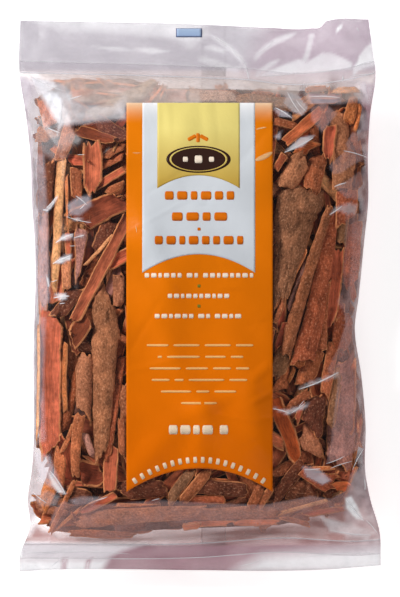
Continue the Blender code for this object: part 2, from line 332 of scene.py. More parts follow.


# Veils on the film, partly its milkiness and partly painted light: painted highlights and painted
# reflections where its folds would catch the lamps, and painted shade where it greys away from the
# light or lies over bark in shade. Each row: the sheet or sheets, the colour, how strong, how soft
# the edge is in millimetres, and the corners in pixels. Later ones lie over earlier ones.
LAVENDER, PEARL, GLARE = linear(222, 212, 222), linear(240, 234, 238), linear(252, 251, 254)
MAUVE, ROSE, SHADE = linear(186, 146, 156), linear(212, 170, 167), linear(200, 182, 195)
SEAL_GREY, PLUM, BLUSH = linear(203, 197, 205), linear(150, 108, 114), linear(248, 232, 226)
PALE_MAUVE, FLARE = linear(216, 198, 202), linear(228, 227, 233)
RIGHT_HEAD_FILM, RIGHT_SIDE_FILM = linear(182, 156, 166), linear(172, 134, 138)
MILK_AND_PAINTED_LIGHT = (
    # the slack film round the bark: left margin, right margin, foot; the plum down the right and the rose at
    # the foot are painted shade
    ("back", LAVENDER, 0.8, 4, ((10, 76), (62, 76), (60, 100), (50, 122), (52, 300), (50, 440), (62, 462),
                                (50, 500), (10, 545))),
    ("back", MAUVE, 0.5, 8, ((10, 440), (52, 440), (56, 500), (10, 530))),
    ("back", PLUM, 0.9, 4, ((318, 76), (390, 66), (390, 560), (328, 545), (338, 480), (340, 300), (342, 130))),
    ("back", LAVENDER, 0.75, 10, ((330, 66), (390, 66), (390, 100), (345, 98))),
    ("back", PEARL, 0.7, 3, ((40, 68), (330, 68), (330, 100), (40, 100))),
    ("back", ROSE, 0.9, 6, ((36, 524), (60, 534), (140, 534), (300, 522), (352, 480), (385, 545), (16, 545))),
    ("front", LAVENDER, 0.5, 2.0, ((14, 74), (30, 78), (34, 96), (34, 120), (33, 160), (35, 200), (38, 250),
                                   (38, 300), (35, 330), (34, 440), (33, 460), (14, 470))),
    ("front", RIGHT_HEAD_FILM, 0.5, 2.0, ((364, 84), (384, 76), (384, 160), (366, 152), (361, 132),
                                          (368, 104))),
    ("front", RIGHT_SIDE_FILM, 0.5, 2.0, ((366, 152), (384, 160), (384, 490), (372, 490), (362, 460),
                                          (359, 390), (353, 350), (354, 310), (357, 270), (360, 230),
                                          (363, 190))),
    # the head of the pillow: milky film, with painted highlights at its left
    ("front", BLUSH, 0.42, 2.5, ((16, 72), (378, 70), (374, 84), (335, 80), (304, 84), (298, 97),
                                 (262, 106), (130, 107), (118, 105), (84, 104), (62, 98), (56, 84), (30, 80))),
    ("front", BLUSH, 0.2, 2.5, ((200, 91), (236, 90), (262, 91), (285, 95), (298, 103), (290, 108),
                                (200, 108))),
    ("front", BLUSH, 0.3, 3.0, ((300, 80), (330, 78), (362, 82), (362, 100), (340, 103), (306, 104))),
    ("front", FLARE, 0.6, 1.4, ((31, 77), (62, 84), (72, 92), (70, 110), (61, 125), (48, 112), (40, 97))),
    ("front", FLARE, 0.85, 0.8, ((32, 78), (42, 83), (54, 92), (64, 101), (66, 112), (61, 126), (48, 112),
                                 (39, 97))),
    ("front", PEARL, 0.52, 3.0, ((62, 98), (84, 104), (112, 106), (126, 96), (126, 120), (100, 122),
                                 (74, 124), (60, 126), (62, 108))),
    ("front", PEARL, 0.85, 0.6, ((43, 127), (61, 126), (58, 137))),
    ("front", PEARL, 0.18, 3.0, ((34, 84), (60, 126), (56, 160), (36, 150), (28, 110))),
    ("front", MAUVE, 0.06, 3.0, ((94, 124), (126, 122), (126, 140), (104, 136))),
    # right of the print, from the head down: painted reflections on the folds of the film
    ("front", PEARL, 0.42, 1.2, ((287, 92), (300, 97), (308, 108), (302, 116), (292, 112), (284, 104))),
    ("front", LAVENDER, 0.45, 1.0, ((272, 108), (286, 112), (292, 118), (280, 117))),
    ("front", LAVENDER, 0.38, 1.0, ((308, 94), (340, 95), (341, 103), (310, 104))),
    ("front", ROSE, 0.35, 1.5, ((311, 108), (324, 104), (336, 114), (322, 132), (312, 120))),
    ("front", PEARL, 0.62, 0.8, ((285, 152), (300, 138), (314, 136), (302, 147), (292, 150))),
    ("front", LAVENDER, 0.45, 0.8, ((274, 138), (281, 131), (280, 140))),
    ("front", ROSE, 0.38, 1.2, ((346, 144), (352, 134), (372, 130), (370, 152), (358, 150), (350, 153))),
    ("front", ROSE, 0.30, 1.0, ((329, 166), (336, 160), (347, 150), (358, 151), (367, 158), (353, 164),
                                (342, 172), (333, 174))),
    ("front", ROSE, 0.34, 1.0, ((335, 187), (345, 183), (360, 172), (367, 180), (366, 200), (356, 199),
                                (345, 197))),
    ("front", PEARL, 0.32, 1.0, ((329, 215), (335, 207), (350, 203), (357, 205), (354, 225), (350, 240),
                                 (346, 214), (338, 211))),
    ("front", ROSE, 0.31, 1.0, ((350, 214), (349, 235), (344, 262), (342, 290), (337, 302), (344, 310),
                                (346, 323), (344, 330), (337, 351), (327, 370), (338, 376), (337, 389),
                                (334, 413), (330, 451), (326, 463), (344, 456), (366, 445), (370, 400),
                                (370, 340), (372, 214))),
    ("front", ROSE, 0.18, 0.8, ((346, 215), (352, 214), (351, 262), (346, 300), (341, 300), (344, 262))),
    ("front", PEARL, 0.40, 0.6, ((298, 388), (308, 382), (330, 375), (338, 371), (339, 376), (322, 381),
                                 (306, 386))),
    ("front", PEARL, 0.5, 0.5, ((272, 407), (285, 410), (308, 403), (306, 407), (287, 414))),
    # the foot of the pillow, with painted highlights on its folds
    ("front", ROSE, 0.31, 1.0, ((50, 545), (50, 524), (56, 508), (64, 501), (78, 506), (120, 503),
                                (160, 500), (210, 503), (262, 505), (290, 500), (310, 496), (330, 499),
                                (348, 490), (366, 470), (382, 545))),
    ("front", LAVENDER, 0.5, 0.8, ((302, 466), (318, 468), (331, 480), (322, 484), (306, 476))),
    ("front", PALE_MAUVE, 0.5, 3.0, ((352, 474), (366, 462), (384, 480), (388, 545), (345, 540), (344, 506))),
    ("front", GLARE, 0.75, 1.2, ((345, 498), (351, 496), (358, 507), (363, 520), (356, 519), (346, 508))),
    ("front", PEARL, 0.55, 2.0, ((320, 516), (350, 524), (376, 532), (368, 538), (330, 532))),
    ("front", LAVENDER, 0.35, 2.0, ((34, 452), (50, 456), (58, 478), (64, 492), (50, 486), (40, 480))),
    ("front", GLARE, 0.7, 0.8, ((48, 470), (53, 476), (60, 486), (67, 494), (58, 492), (52, 484))),
    ("front", PEARL, 0.18, 2.0, ((34, 498), (46, 490), (60, 496), (56, 506), (40, 505))),
    ("front", LAVENDER, 0.3, 1.5, ((70, 500), (82, 496), (104, 497), (92, 504), (76, 505))),
    ("front", LAVENDER, 0.2, 2.0, ((38, 316), (46, 318), (44, 380), (46, 440), (38, 444))),
    ("front", LAVENDER, 0.28, 2.0, ((34, 150), (44, 156), (47, 200), (50, 300), (40, 312), (36, 240))),
    # painted glints of creases over the left of the bark
    ("front", GLARE, 0.75, 0.5, ((46, 210), (50, 206), (57, 197), (58, 198), (51, 209), (47, 212))),
    ("front", LAVENDER, 0.42, 1.5, ((68, 205), (78, 198), (90, 196), (92, 206), (80, 216), (70, 214))),
    ("front", GLARE, 0.65, 0.4, ((68, 217), (79, 219), (90, 222), (79, 221))),
    ("front", GLARE, 0.65, 0.7, ((57, 242), (63, 236), (74, 234), (73, 238), (64, 240))),
    ("front", GLARE, 0.6, 0.4, ((73, 238), (83, 235), (84, 236), (75, 239))),
    ("front", GLARE, 0.65, 0.7, ((55, 263), (62, 257), (72, 255), (71, 260), (62, 263))),
    ("front", GLARE, 0.55, 0.5, ((47, 277), (49, 279), (50, 286), (48, 285))),
    ("front", GLARE, 0.5, 0.8, ((55, 295), (64, 293), (69, 297), (62, 301))),
    # the flap: painted highlights where it would catch the light, and painted shade greying it towards the
    # right
    ("both", SHADE, 0.68, 14, ((265, 15), (380, 10), (380, 70), (250, 70))),
    ("front", GLARE, 0.42, 6.0, ((38, 20), (200, 20), (206, 32), (190, 46), (176, 36), (120, 30), (60, 28))),
    ("front", GLARE, 0.45, 1.2, ((92, 46), (112, 47), (134, 50), (112, 50))),
    ("front", GLARE, 0.45, 1.2, ((135, 49), (152, 48), (169, 52), (150, 53))),
    ("front", GLARE, 0.4, 1.6, ((255, 61), (256, 54), (264, 46), (276, 38), (287, 34), (296, 33), (289, 38),
                                (276, 44), (266, 50), (259, 56))),
    ("front", GLARE, 0.35, 1.4, ((255, 75), (258, 71), (270, 62), (280, 59), (275, 64), (264, 71))),
    ("front", GLARE, 0.35, 1.4, ((210, 35), (222, 40), (232, 47), (242, 58), (249, 72), (250, 80),
                                 (244, 66), (234, 54), (222, 45))),
    ("front", GLARE, 0.4, 1.6, ((200, 56), (216, 60), (234, 68), (244, 65), (236, 72), (214, 66), (200, 61))),
    ("front", GLARE, 0.35, 1.6, ((205, 48), (212, 45), (226, 50), (224, 53))),
    ("front", GLARE, 0.45, 1.5, ((310, 34), (314, 34), (311, 48), (307, 62), (302, 61), (306, 51))),
    ("front", GLARE, 0.55, 1.4, ((257, 76), (276, 68), (299, 59), (306, 63), (322, 53), (331, 53),
                                 (342, 58), (352, 63), (351, 69), (328, 71), (305, 73), (276, 75))),
    ("front", GLARE, 0.7, 1.4, ((373, 42), (366, 47), (359, 56), (358, 61), (353, 68), (353, 77), (358, 71),
                                (366, 68), (378, 65), (378, 50))),
    ("front", GLARE, 0.75, 1.0, ((336, 33), (337, 27), (343, 23), (342, 28))),
    # the hem: painted highlights white at both ends, and folds darkened as painted shade
    ("both", GLARE, 0.6, 3, ((14, 543), (148, 543), (122, 551), (104, 560), (14, 560))),
    ("both", GLARE, 0.55, 4, ((14, 560), (108, 560), (100, 574), (14, 574))),
    ("both", GLARE, 0.56, 9, ((262, 556), (386, 543), (386, 574), (232, 574))),
    ("front", MAUVE, 0.5, 1.5, ((62, 558), (68, 558), (66, 572), (60, 572))),
    ("front", MAUVE, 0.45, 1.5, ((86, 560), (92, 558), (88, 572), (84, 572))),
)
CLEAR_HAZE, FLAP_HAZE, HEM_HAZE_AND_SHADE = 0.006, 0.66, 0.7
SOFTEST, CRINKLED, PRESSED_FLAT, BACK_CRINKLED = 1.0, 0.16, 0.06, 0.2


def polygon_share(x, y, corners, soft):
    """How far a point is inside a polygon: 0.5 on its outline, reaching 0 or 1 at half of soft from it."""
    at_x, at_y = from_photo(*np.array(corners).T)
    to_x, to_y = np.roll(at_x, -1), np.roll(at_y, -1)
    inside, nearest = np.zeros(x.shape, bool), np.full(x.shape, np.inf)
    for ax, ay, bx, by in zip(at_x, at_y, to_x, to_y):
        crosses = (ay > y) != (by > y)
        inside ^= crosses & (x < ax + (y - ay) * (bx - ax) / np.where(by == ay, 1, by - ay))
        run = (bx - ax) ** 2 + (by - ay) ** 2
        along = np.clip(((x - ax) * (bx - ax) + (y - ay) * (by - ay)) / run, 0, 1)
        nearest = np.minimum(nearest, np.hypot(x - ax - along * (bx - ax), y - ay - along * (by - ay)))
    return np.clip(0.5 + np.where(inside, nearest, -nearest) / soft, 0, 1)


CREASE_SEED, CREASES = 5, 90
CREASED_ACROSS, CREASED_ALONG, CREASE_LENGTHS = (-88, 88), (-128, 116), (6, 26)
CREASE_WIDTHS, CREASE_HEIGHTS = (1.2, 3.0), (-0.35, 0.35)


def creases(x, y):
    """Height of fine random creases: across a crest 1 - |a|, and 1 - b^2 on the way to its ends."""
    pick = np.random.default_rng(CREASE_SEED)
    height = np.zeros_like(x)
    for _ in range(CREASES):
        at_x, at_y = pick.uniform(*CREASED_ACROSS) * MM, pick.uniform(*CREASED_ALONG) * MM
        turn, long = pick.uniform(0, np.pi), pick.uniform(*CREASE_LENGTHS) * MM
        wide, tall = pick.uniform(*CREASE_WIDTHS) * MM, pick.uniform(*CREASE_HEIGHTS) * MM
        along = (x - at_x) * np.sin(turn) + (y - at_y) * np.cos(turn)
        across = (x - at_x) * np.cos(turn) - (y - at_y) * np.sin(turn)
        height += tall * np.clip(1 - np.abs(across) / wide, 0, 1) * np.clip(1 - (along / long) ** 2, 0, 1)
    return height


# The larger folds over the print: both ends of a crest in pixels, its width and height in mm
FOLDS = ((250, 381, 271, 363, 4.2, 0.7), (250, 403, 275, 390, 2.8, 0.6), (255, 418.5, 275, 417, 2.0, 0.42),
         (182, 418, 238, 389, 7.0, 0.8), (166, 88, 170, 140, 3.0, 0.4), (206, 92, 212, 150, 5.0, 0.6))


def folds(x, y):
    """Height of the folds: across a crest (1 - a^2)^2, along it the same with its fourth power."""
    height = np.zeros_like(x)
    for from_x, from_y, to_x, to_y, wide, tall in FOLDS:
        (ax, bx), (ay, by) = from_photo((from_x, to_x), (from_y, to_y))
        long = np.hypot(bx - ax, by - ay)
        along = ((x - (ax + bx) / 2) * (bx - ax) + (y - (ay + by) / 2) * (by - ay)) / long**2 * 2
        across = ((x - ax) * (by - ay) - (y - ay) * (bx - ax)) / long / (wide * MM)
        height += tall * MM * np.clip(1 - across**2, 0, 1) ** 2 * np.clip(1 - along**4, 0, 1)
    return height


def front_film(x, y):
    """Height of the creased front sheet."""
    return front_form(x, y) + creases(x, y) * np.clip(2 * fullness(x, y), 0, 1) + folds(x, y)


# The grid is wider under the print, which hides the film there
FILM_COLUMNS, FILM_ROWS, UNDER_PRINT, PRINT_COLUMNS = 188, 262, 0.25, 46
SEAL_EDGE, MIST_SEED = 2 * MM, 8
COARSE_MIST, FINE_MIST, COARSE_LUMPS, FINE_LUMPS = 0.2, 0.14, (40, 30), (90, 26)
u = np.interp(np.arange(FILM_COLUMNS + 1), (0, (FILM_COLUMNS - PRINT_COLUMNS) / 2,
                                           (FILM_COLUMNS + PRINT_COLUMNS) / 2, FILM_COLUMNS),
              (-1, -UNDER_PRINT, UNDER_PRINT, 1))
u, v = np.meshgrid(u, np.linspace(-1, 1, FILM_ROWS + 1))
film_x, film_y = bag_point(u, v)
front = np.stack((film_x, film_y, front_film(film_x, film_y)), -1)
back = np.stack((film_x, film_y, back_form(film_x, film_y)), -1)
points, quads, _ = sewn(front, back)

above_seal = np.clip((film_y - smooth_through(HEAD_SEAL, film_x)) / SEAL_EDGE + 0.5, 0, 1)
below_seal = np.clip((smooth_through(FOOT_SEAL, film_x) - film_y) / SEAL_EDGE + 0.5, 0, 1)
mist_pick = np.random.default_rng(MIST_SEED)
sheets = {}
for sheet in ("front", "back"):
    haze, veil = np.full(film_x.shape, CLEAR_HAZE), np.ones((*film_x.shape, 3)) * LAVENDER
    # The flap is grey film; the hem's mauve below the foot seal is painted shade.
    places = [(SEAL_GREY, FLAP_HAZE, above_seal), (MAUVE, HEM_HAZE_AND_SHADE, below_seal)]
    places += [(colour, milk_and_painted_light, polygon_share(film_x, film_y, corners, max(soft, SOFTEST) * MM))
               for where, colour, milk_and_painted_light, soft, corners in MILK_AND_PAINTED_LIGHT if where in (sheet, "both")]
    for colour, milk_and_painted_light, share in places:
        veil = veil + (np.array(colour) - veil) * share[..., None]
        haze = haze + (milk_and_painted_light - haze) * share
    haze = haze * (1 + COARSE_MIST * wander(mist_pick, haze.shape, COARSE_LUMPS)
                   + FINE_MIST * wander(mist_pick, haze.shape, FINE_LUMPS))
    sheets[sheet] = (haze.ravel(), veil.reshape(-1, 3))

# Film that has lain over bark is rumpled everywhere, print and all
rumple_effect, nodes, given, result = new_effect(
    "film_rumple", (("Strength", 0.35), ("Depth", 0.4 * MM)), ("Normal", "NodeSocketVector"))
rumple_place = nodes.add("ShaderNodeTexCoord").outputs["Object"]
nodes.feed(result, nodes.add("ShaderNodeBump", {"Strength": given["Strength"], "Distance": given["Depth"],
                                                "Height": nodes.noise(rumple_place, 160, 2.0)}).outputs[0])

film_material, film, shader = new_material("clear_film")
film.feed(shader.inputs["Base Color"], film.named("veil", "Color"))
shader.inputs["Roughness"].default_value = 0.5
shader.inputs["Specular IOR Level"].default_value = 0.08
rumple = film.add("ShaderNodeGroup", node_tree=rumple_effect).outputs[0]
film.feed(shader.inputs["Normal"], rumple)
clear = film.add("ShaderNodeBsdfTransparent", {"Color": (0.975, 0.97, 0.975)})
gloss = film.add("ShaderNodeBsdfAnisotropic",
                 {"Color": (0.95, 0.95, 0.97), "Roughness": 0.2, "Normal": rumple})
film_place = film.add("ShaderNodeTexCoord").outputs["Object"]
crinkles = film.span(film.noise(film_place, 230, 4.0, 0.6), 0.3, 0.7, -1.0, 1.0)
# The haze attribute is the film's milkiness together with its painted highlights and painted shade.
haze = film.math("MULTIPLY", film.named("haze"),
                 film.math("MULTIPLY_ADD", crinkles, film.named("crinkle"), 1.0), clamp=True)
sheet = film.add("ShaderNodeMixShader", {0: haze, 1: clear.outputs[0], 2: shader.outputs[0]})
facing = film.add("ShaderNodeLayerWeight", {"Blend": 0.5}).outputs["Facing"]
shine = film.math("MULTIPLY_ADD", film.math("POWER", facing, 4.0), 0.2, 0.008)
surface = film.add("ShaderNodeMixShader", {0: shine, 1: sheet.outputs[0], 2: gloss.outputs[0]})
film.feed(film.tree.nodes["Material Output"].inputs["Surface"], surface.outputs[0])

crinkle = CRINKLED + (PRESSED_FLAT - CRINKLED) * np.maximum(above_seal, below_seal).ravel()
film_piece = add_piece(
    "film", points, quads, film_material, crinkle=np.concatenate((crinkle, BACK_CRINKLED * crinkle)),
    haze=np.concatenate((sheets["front"][0], sheets["back"][0])),
    veil=np.concatenate((sheets["front"][1], sheets["back"][1])),
)
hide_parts("bag")

STRIP_THICKNESS = 0.04 * MM


def skins(grids, heights, thick):
    """Points and quads of thin closed skins over grids of places, and which quads are at their edges."""
    all_points, all_quads, edges, count = [], [], [], 0
    for x, y in grids:
        z = heights(x, y)
        points, quads, faces = sewn(np.stack((x, y, z + thick), -1), np.stack((x, y, z), -1))
        all_points.append(points)
        all_quads.append(quads + count)
        edges.append(np.arange(len(quads)) >= 2 * faces)
        count += len(points)
    return np.concatenate(all_points), np.concatenate(all_quads), np.concatenate(edges)


def film_strips(name, grids, heights, haze, colour):
    """Thin strips of the same film over grids of places, with one milkiness and colour, in one mesh; on the
    glints these are a painted highlight.
    """
    points, quads, _ = skins(grids, heights, STRIP_THICKNESS)
    piece = add_piece(name, points, quads, film_material, haze=np.full(len(points), haze),
                      veil=np.ones((len(points), 3)) * colour)
    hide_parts("bag")


# The glints: painted highlights on the crests of the front sheet's small folds, as thin bright lines.
# They are slivers of the same film, milky white, just clear of it. Each row has both ends and the
# width of one, in pixels.
GLINT_LIFT, GLINT_HAZE, GLINT_BOW, BLUNT_TIP = 0.1 * MM, 0.45, 0.03, 0.02
GLINTS = (
    (46, 209, 58, 196, 1.2), (43, 210, 49, 211, 1.4), (67, 217, 92, 223, 0.8), (56, 243, 74, 234, 1.6),
    (74, 238, 85, 235, 0.9), (53, 264, 72, 256, 1.8), (70, 246, 76, 246, 0.6), (47, 276, 49, 287, 1.2),
    (51, 282, 58, 280, 0.7), (54, 298, 70, 296, 1.8), (60, 300, 66, 294, 1.0), (60, 304, 66, 303, 0.7),
    (78, 155, 85, 155, 0.7), (76, 196, 88, 206, 1.0), (80, 210, 86, 204, 0.9), (132, 154, 140, 154, 0.8),
    (48, 128, 60, 133, 1.2), (50, 470, 66, 494, 1.4), (33, 492, 47, 503, 0.9), (62, 100, 60, 125, 0.9),
    (30, 76, 66, 92, 1.0), (70, 100, 82, 96, 1.2), (284, 153, 313, 138, 1.8), (275, 108, 292, 119, 1.2),
    (287, 92, 302, 116, 0.9), (309, 97, 340, 98, 1.2), (296, 100, 306, 112, 0.8), (343, 151, 368, 158, 1.0),
    (329, 215, 342, 206, 1.0), (334, 187, 346, 183, 1.2), (298, 389, 338, 372, 1.4), (272, 408, 290, 413, 1.2),
    (290, 413, 305, 402, 0.9), (298, 407, 304, 400, 0.7), (304, 469, 320, 468, 1.0), (330, 468, 352, 461, 0.8),
    (326, 463, 344, 456, 0.8), (352, 470, 364, 448, 0.8), (346, 498, 364, 521, 1.6), (364, 478, 365, 490, 1.2),
    (330, 530, 372, 535, 1.2), (366, 520, 378, 534, 1.0), (96, 500, 108, 496, 0.9), (152, 500, 160, 498, 0.7),
    (257, 76, 300, 72, 0.7), (343, 76, 342, 82, 1.2), (258, 53, 274, 40, 0.7), (212, 35, 232, 48, 0.9),
    (232, 48, 244, 63, 0.9), (244, 63, 249, 80, 0.8), (357, 27, 359, 31, 1.0), (354, 67, 372, 61, 0.7),
    (306, 63, 303, 57, 0.6), (349, 77, 373, 74, 0.7),
    (20, 552, 66, 550, 0.9), (24, 556, 130, 554, 0.7), (60, 560, 52, 566, 0.8), (300, 558, 378, 554, 0.8),
    (240, 566, 262, 560, 0.7),
)


def glint_strips(name, rows, lift, milk_and_painted_light, colour):
    """Thin bowed strips of film at a height over the front sheet, one for each row, in one mesh.

    With t from 0 to 1 along a strip, its width goes as sin(pi t)^(1/2) and its bow as sin(pi t).
    """
    grids = []
    for from_x, from_y, to_x, to_y, wide in rows:
        long = np.hypot(to_x - from_x, to_y - from_y)
        along, across = np.meshgrid(np.linspace(0, 1, int(long / 2) + 4), (-1, 0, 1))
        taper = wide / 2 * np.sqrt(np.sin(np.pi * (BLUNT_TIP + (1 - 2 * BLUNT_TIP) * along)))
        bow = GLINT_BOW * long * np.sin(np.pi * along) * (-1) ** len(grids)
        off = across * taper + bow
        grids.append(from_photo(from_x + (to_x - from_x) * along - (to_y - from_y) / long * off,
                                from_y + (to_y - from_y) * along + (to_x - from_x) / long * off))
    film_strips(name, grids, lambda x, y: front_film(x, y) + lift, milk_and_painted_light, colour)


glint_strips("film_glints", GLINTS, GLINT_LIFT, GLINT_HAZE, GLARE)

# The seals: bands across the head and the foot where heated jaws weld the two sheets, with
# bright edges. Each row has the name, the line it follows, its two edges beside that line in
# millimetres, its milkiness and its colour.
BAND_STEP, BAND_LIFT, BAND_REACH = 1.3 * MM, 0.05 * MM, 0.995
SEAL_STRIPS = (
    ("head_seal", HEAD_SEAL, -0.6, 6.0, 0.06, PEARL), ("head_seal_edge", HEAD_SEAL, -0.5, 0.2, 0.5, GLARE),
    ("head_seal_top", HEAD_SEAL, 6.0, 6.5, 0.3, GLARE), ("foot_seal", FOOT_SEAL, -7.6, 0.5, 0.05, MAUVE),
    ("foot_seal_edge", FOOT_SEAL, -0.2, 0.5, 0.5, GLARE),
    ("foot_seal_foot", FOOT_SEAL, -8.0, -7.5, 0.42, PEARL),
)
for name, seal, low, high, haze, colour in SEAL_STRIPS:
    y_middle = smooth_through(seal, 0.0)
    middle, half = side_to_side(y_middle + (low + high) / 2 * MM)
    across, up = np.meshgrid(np.linspace(-BAND_REACH, BAND_REACH, int(2 * half / BAND_STEP)),
                             np.linspace(low, high, max(2, int((high - low) * MM / BAND_STEP) + 1)) * MM)
    x = middle + across * half
    film_strips(name, [(x, smooth_through(seal, x) + up)],
                lambda x, y: front_film(x, y) + BAND_LIFT, haze, colour)

# The lap seam: the film's two long edges welded one over the other down the middle of the back.
# It shows through the flap and the hem. Each row has the name, both sides in pixels, the columns
# of its grid and its milkiness.
SEAM_STRIPS = (("lap_seam", (202, 225.5), 5, 0.12), ("lap_seam_edge", (201.3, 202.3), 2, 0.5),
               ("lap_seam_fold", (225.2, 226.0), 2, 0.4))
SEAM_MIDDLE, SEAM_INSET, SEAM_ROWS, SEAM_LIFT = 14 * MM, 0.6 * MM, 210, 0.1 * MM
for name, across, columns, haze in SEAM_STRIPS:
    side_x = from_photo(np.linspace(*across, columns), 0)[0]
    seam = np.meshgrid(side_x, np.linspace(smooth_through(FOOT_END, 0.0) + SEAM_INSET,
                                           smooth_through(HEAD_END, SEAM_MIDDLE) - SEAM_INSET, SEAM_ROWS))
    film_strips(name, [seam], lambda x, y: back_form(x, y) + SEAM_LIFT, haze, PEARL)


# The print down the front: an orange panel with a white field and a gold field on it, all cut
# to arches at the foot. It is ink on the film, so each field is a thin skin that follows it.
PRINT_LIFT, INK = 0.2 * MM, 0.07 * MM
PANEL_LEFT, PANEL_RIGHT, PANEL_HEAD = -40.5 * MM, 40.0 * MM, 106.2 * MM
PANEL_CORNER, PANEL_ARCH = -108.2 * MM, 13.0 * MM
SHINE_REACH, HEAD_SHINE = 12 * MM, 0.8
UNEVEN, SHADED_FROM, SIDE_SHADE = (0.93, 1.05), 10 * MM, 0.87
PRINT_CELL = 1.2 * MM
WHITE_LEVEL, PANEL_MARKS, GOLD_LEVEL, FIELD_MARKS, OVAL_MARKS = 1.3, 1.5, 2.6, 3.9, 5.2


def ink(name, colour, lower_colour, low, high, shine_colour=None):
    """Gloss ink that goes from one colour at height high on the bag to another at low.

    A painted shine over the print's head pales it there, by t^2 with t from 0 at its end to 1 at the head.
    """
    material, nodes, shader = new_material(name)
    place = nodes.add("ShaderNodeTexCoord").outputs["Object"]
    height = nodes.add("ShaderNodeSeparateXYZ", {0: place}).outputs["Y"]
    body = nodes.blend(nodes.span(height, low, high), lower_colour, colour)
    across = nodes.add("ShaderNodeSeparateXYZ", {0: place}).outputs["X"]
    # Random unevenness of the ink, times painted shade that darkens it towards the panel's right side, which
    # slopes away from the light.
    patches = nodes.math("MULTIPLY", nodes.span(nodes.noise(place, 30, 2.0), 0.3, 0.7, *UNEVEN),
                         nodes.span(across, SHADED_FROM, PANEL_RIGHT, 1.0, SIDE_SHADE))
    uneven_tint_and_shade = nodes.add("ShaderNodeCombineColor", {"Red": patches, "Green": patches, "Blue": patches}).outputs[0]
    body = nodes.blend(1.0, body, uneven_tint_and_shade, mode="MULTIPLY")
    if shine_colour is not None:
        shone = nodes.math("POWER", nodes.span(height, PANEL_HEAD - SHINE_REACH, PANEL_HEAD), 2.0)
        body = nodes.blend(nodes.math("MULTIPLY", shone, HEAD_SHINE), body, shine_colour)
    nodes.feed(shader.inputs["Base Color"], body)
    shader.inputs["Roughness"].default_value = 0.3
    shader.inputs["Specular IOR Level"].default_value = 0.08
    rumple = nodes.add("ShaderNodeGroup", {"Strength": 0.5}, node_tree=rumple_effect)
    nodes.feed(shader.inputs["Normal"], rumple.outputs[0])
    return material


def printed_marks(name, grids, level, material):
    """Thin skins of ink over grids of places on the film, at a level of the print, in one mesh."""
    points, quads, edges = skins(grids, lambda x, y: front_film(x, y) + PRINT_LIFT + level * INK, INK)
    piece = add_piece(name, points, quads, material, sharp=edges)
    return piece


def printed_field(name, left, right, foot, arch, head, level, material):
    """A field of ink between two sides, from a foot that arches as 1 - a^2 to a straight head."""
    columns, rows = int((right - left) / PRINT_CELL) + 2, int((head - foot) / PRINT_CELL) + 2
    across, up = np.meshgrid(np.linspace(-1, 1, columns), np.linspace(0, 1, rows))
    edge = foot + arch * (1 - across**2)
    place = (left + (right - left) * (across + 1) / 2, edge + (head - edge) * up)
    return printed_marks(name, [place], level, material)


# The last colour of the orange and the white ink is the painted shine over the print's head.
orange_ink = ink("orange_ink", linear(232, 125, 9), linear(225, 108, 2), -90 * MM, 90 * MM,
                 linear(240, 214, 180))
white_ink = ink("white_ink", linear(216, 220, 225), linear(206, 210, 216), 10 * MM, 100 * MM,
                linear(252, 250, 252))
gold_ink = ink("gold_ink", linear(232, 214, 128), linear(196, 158, 66), 60 * MM, 92 * MM)
orange_panel = printed_field("orange_panel", PANEL_LEFT, PANEL_RIGHT, PANEL_CORNER, PANEL_ARCH,
                             PANEL_HEAD, 0, orange_ink)
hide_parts("printed_panel")
WHITE_SIDES, WHITE_CORNER, WHITE_ARCH = (142.6, 254.8), 273, 10.2 * MM
GOLD_SIDES, GOLD_CORNER, GOLD_ARCH = (157.5, 239.6), 189, 7.2 * MM
for name, (left, right), corner, arch, level, material in (
    ("white_field", WHITE_SIDES, WHITE_CORNER, WHITE_ARCH, WHITE_LEVEL, white_ink),
    ("gold_field", GOLD_SIDES, GOLD_CORNER, GOLD_ARCH, GOLD_LEVEL, gold_ink),
):
    printed_field(name, from_photo(left, 0)[0], from_photo(right, 0)[0], from_photo(0, corner)[1],
                  arch, PANEL_HEAD, level, material)


BAR_COLUMNS, CORNER_POWER, CORNER_CUT = 9, 14, 0.9


def rounded(middle, long, tall, turn=0.0):
    """A grid over a bar with rounded corners: its height falls off along it as (1 - 0.9 t^14)^(1/2)."""
    along, up = np.meshgrid(np.linspace(-1, 1, BAR_COLUMNS), (-1, 0, 1))
    along = np.sin(along * np.pi / 2)
    side_x, side_y = along * long / 2, up * tall / 2 * np.sqrt(1 - np.abs(along) ** CORNER_POWER * CORNER_CUT)
    return (middle[0] + (side_x * np.cos(turn) - side_y * np.sin(turn)),
            middle[1] + (side_x * np.sin(turn) + side_y * np.cos(turn)))


GROUP_GAP = 2.6


def bars(row, left, right, tall, groups, gap):
    """A row of groups of bars between two pixel columns. Bar k is 1 + sin(2.4 k) / 4 wide."""
    widths = [1 + 0.25 * np.sin(2.4 * k) for k in range(sum(groups))]
    spaces = [gap] * len(widths)
    for k in np.cumsum(groups)[:-1]:
        spaces[k - 1] = GROUP_GAP * gap
    unit = (right - left - sum(spaces[:-1])) / sum(widths)
    grids, at = [], left
    for wide, space in zip(widths, spaces):
        grids.append(rounded(from_photo(at + wide * unit / 2, row),
                             wide * unit * PHOTO_PIXEL, tall * PHOTO_PIXEL))
        at += wide * unit + space
    return grids


def dashes(row, left, right, tall, lengths, gap):
    """A row of dashes between two pixel columns, with lengths in parts of the row."""
    unit = (right - left - gap * (len(lengths) - 1)) / sum(lengths)
    starts = left + np.cumsum((0, *lengths[:-1])) * unit + gap * np.arange(len(lengths))
    return [rounded(from_photo(at + long * unit / 2, row), long * unit * PHOTO_PIXEL, tall * PHOTO_PIXEL)
            for at, long in zip(starts, lengths)]


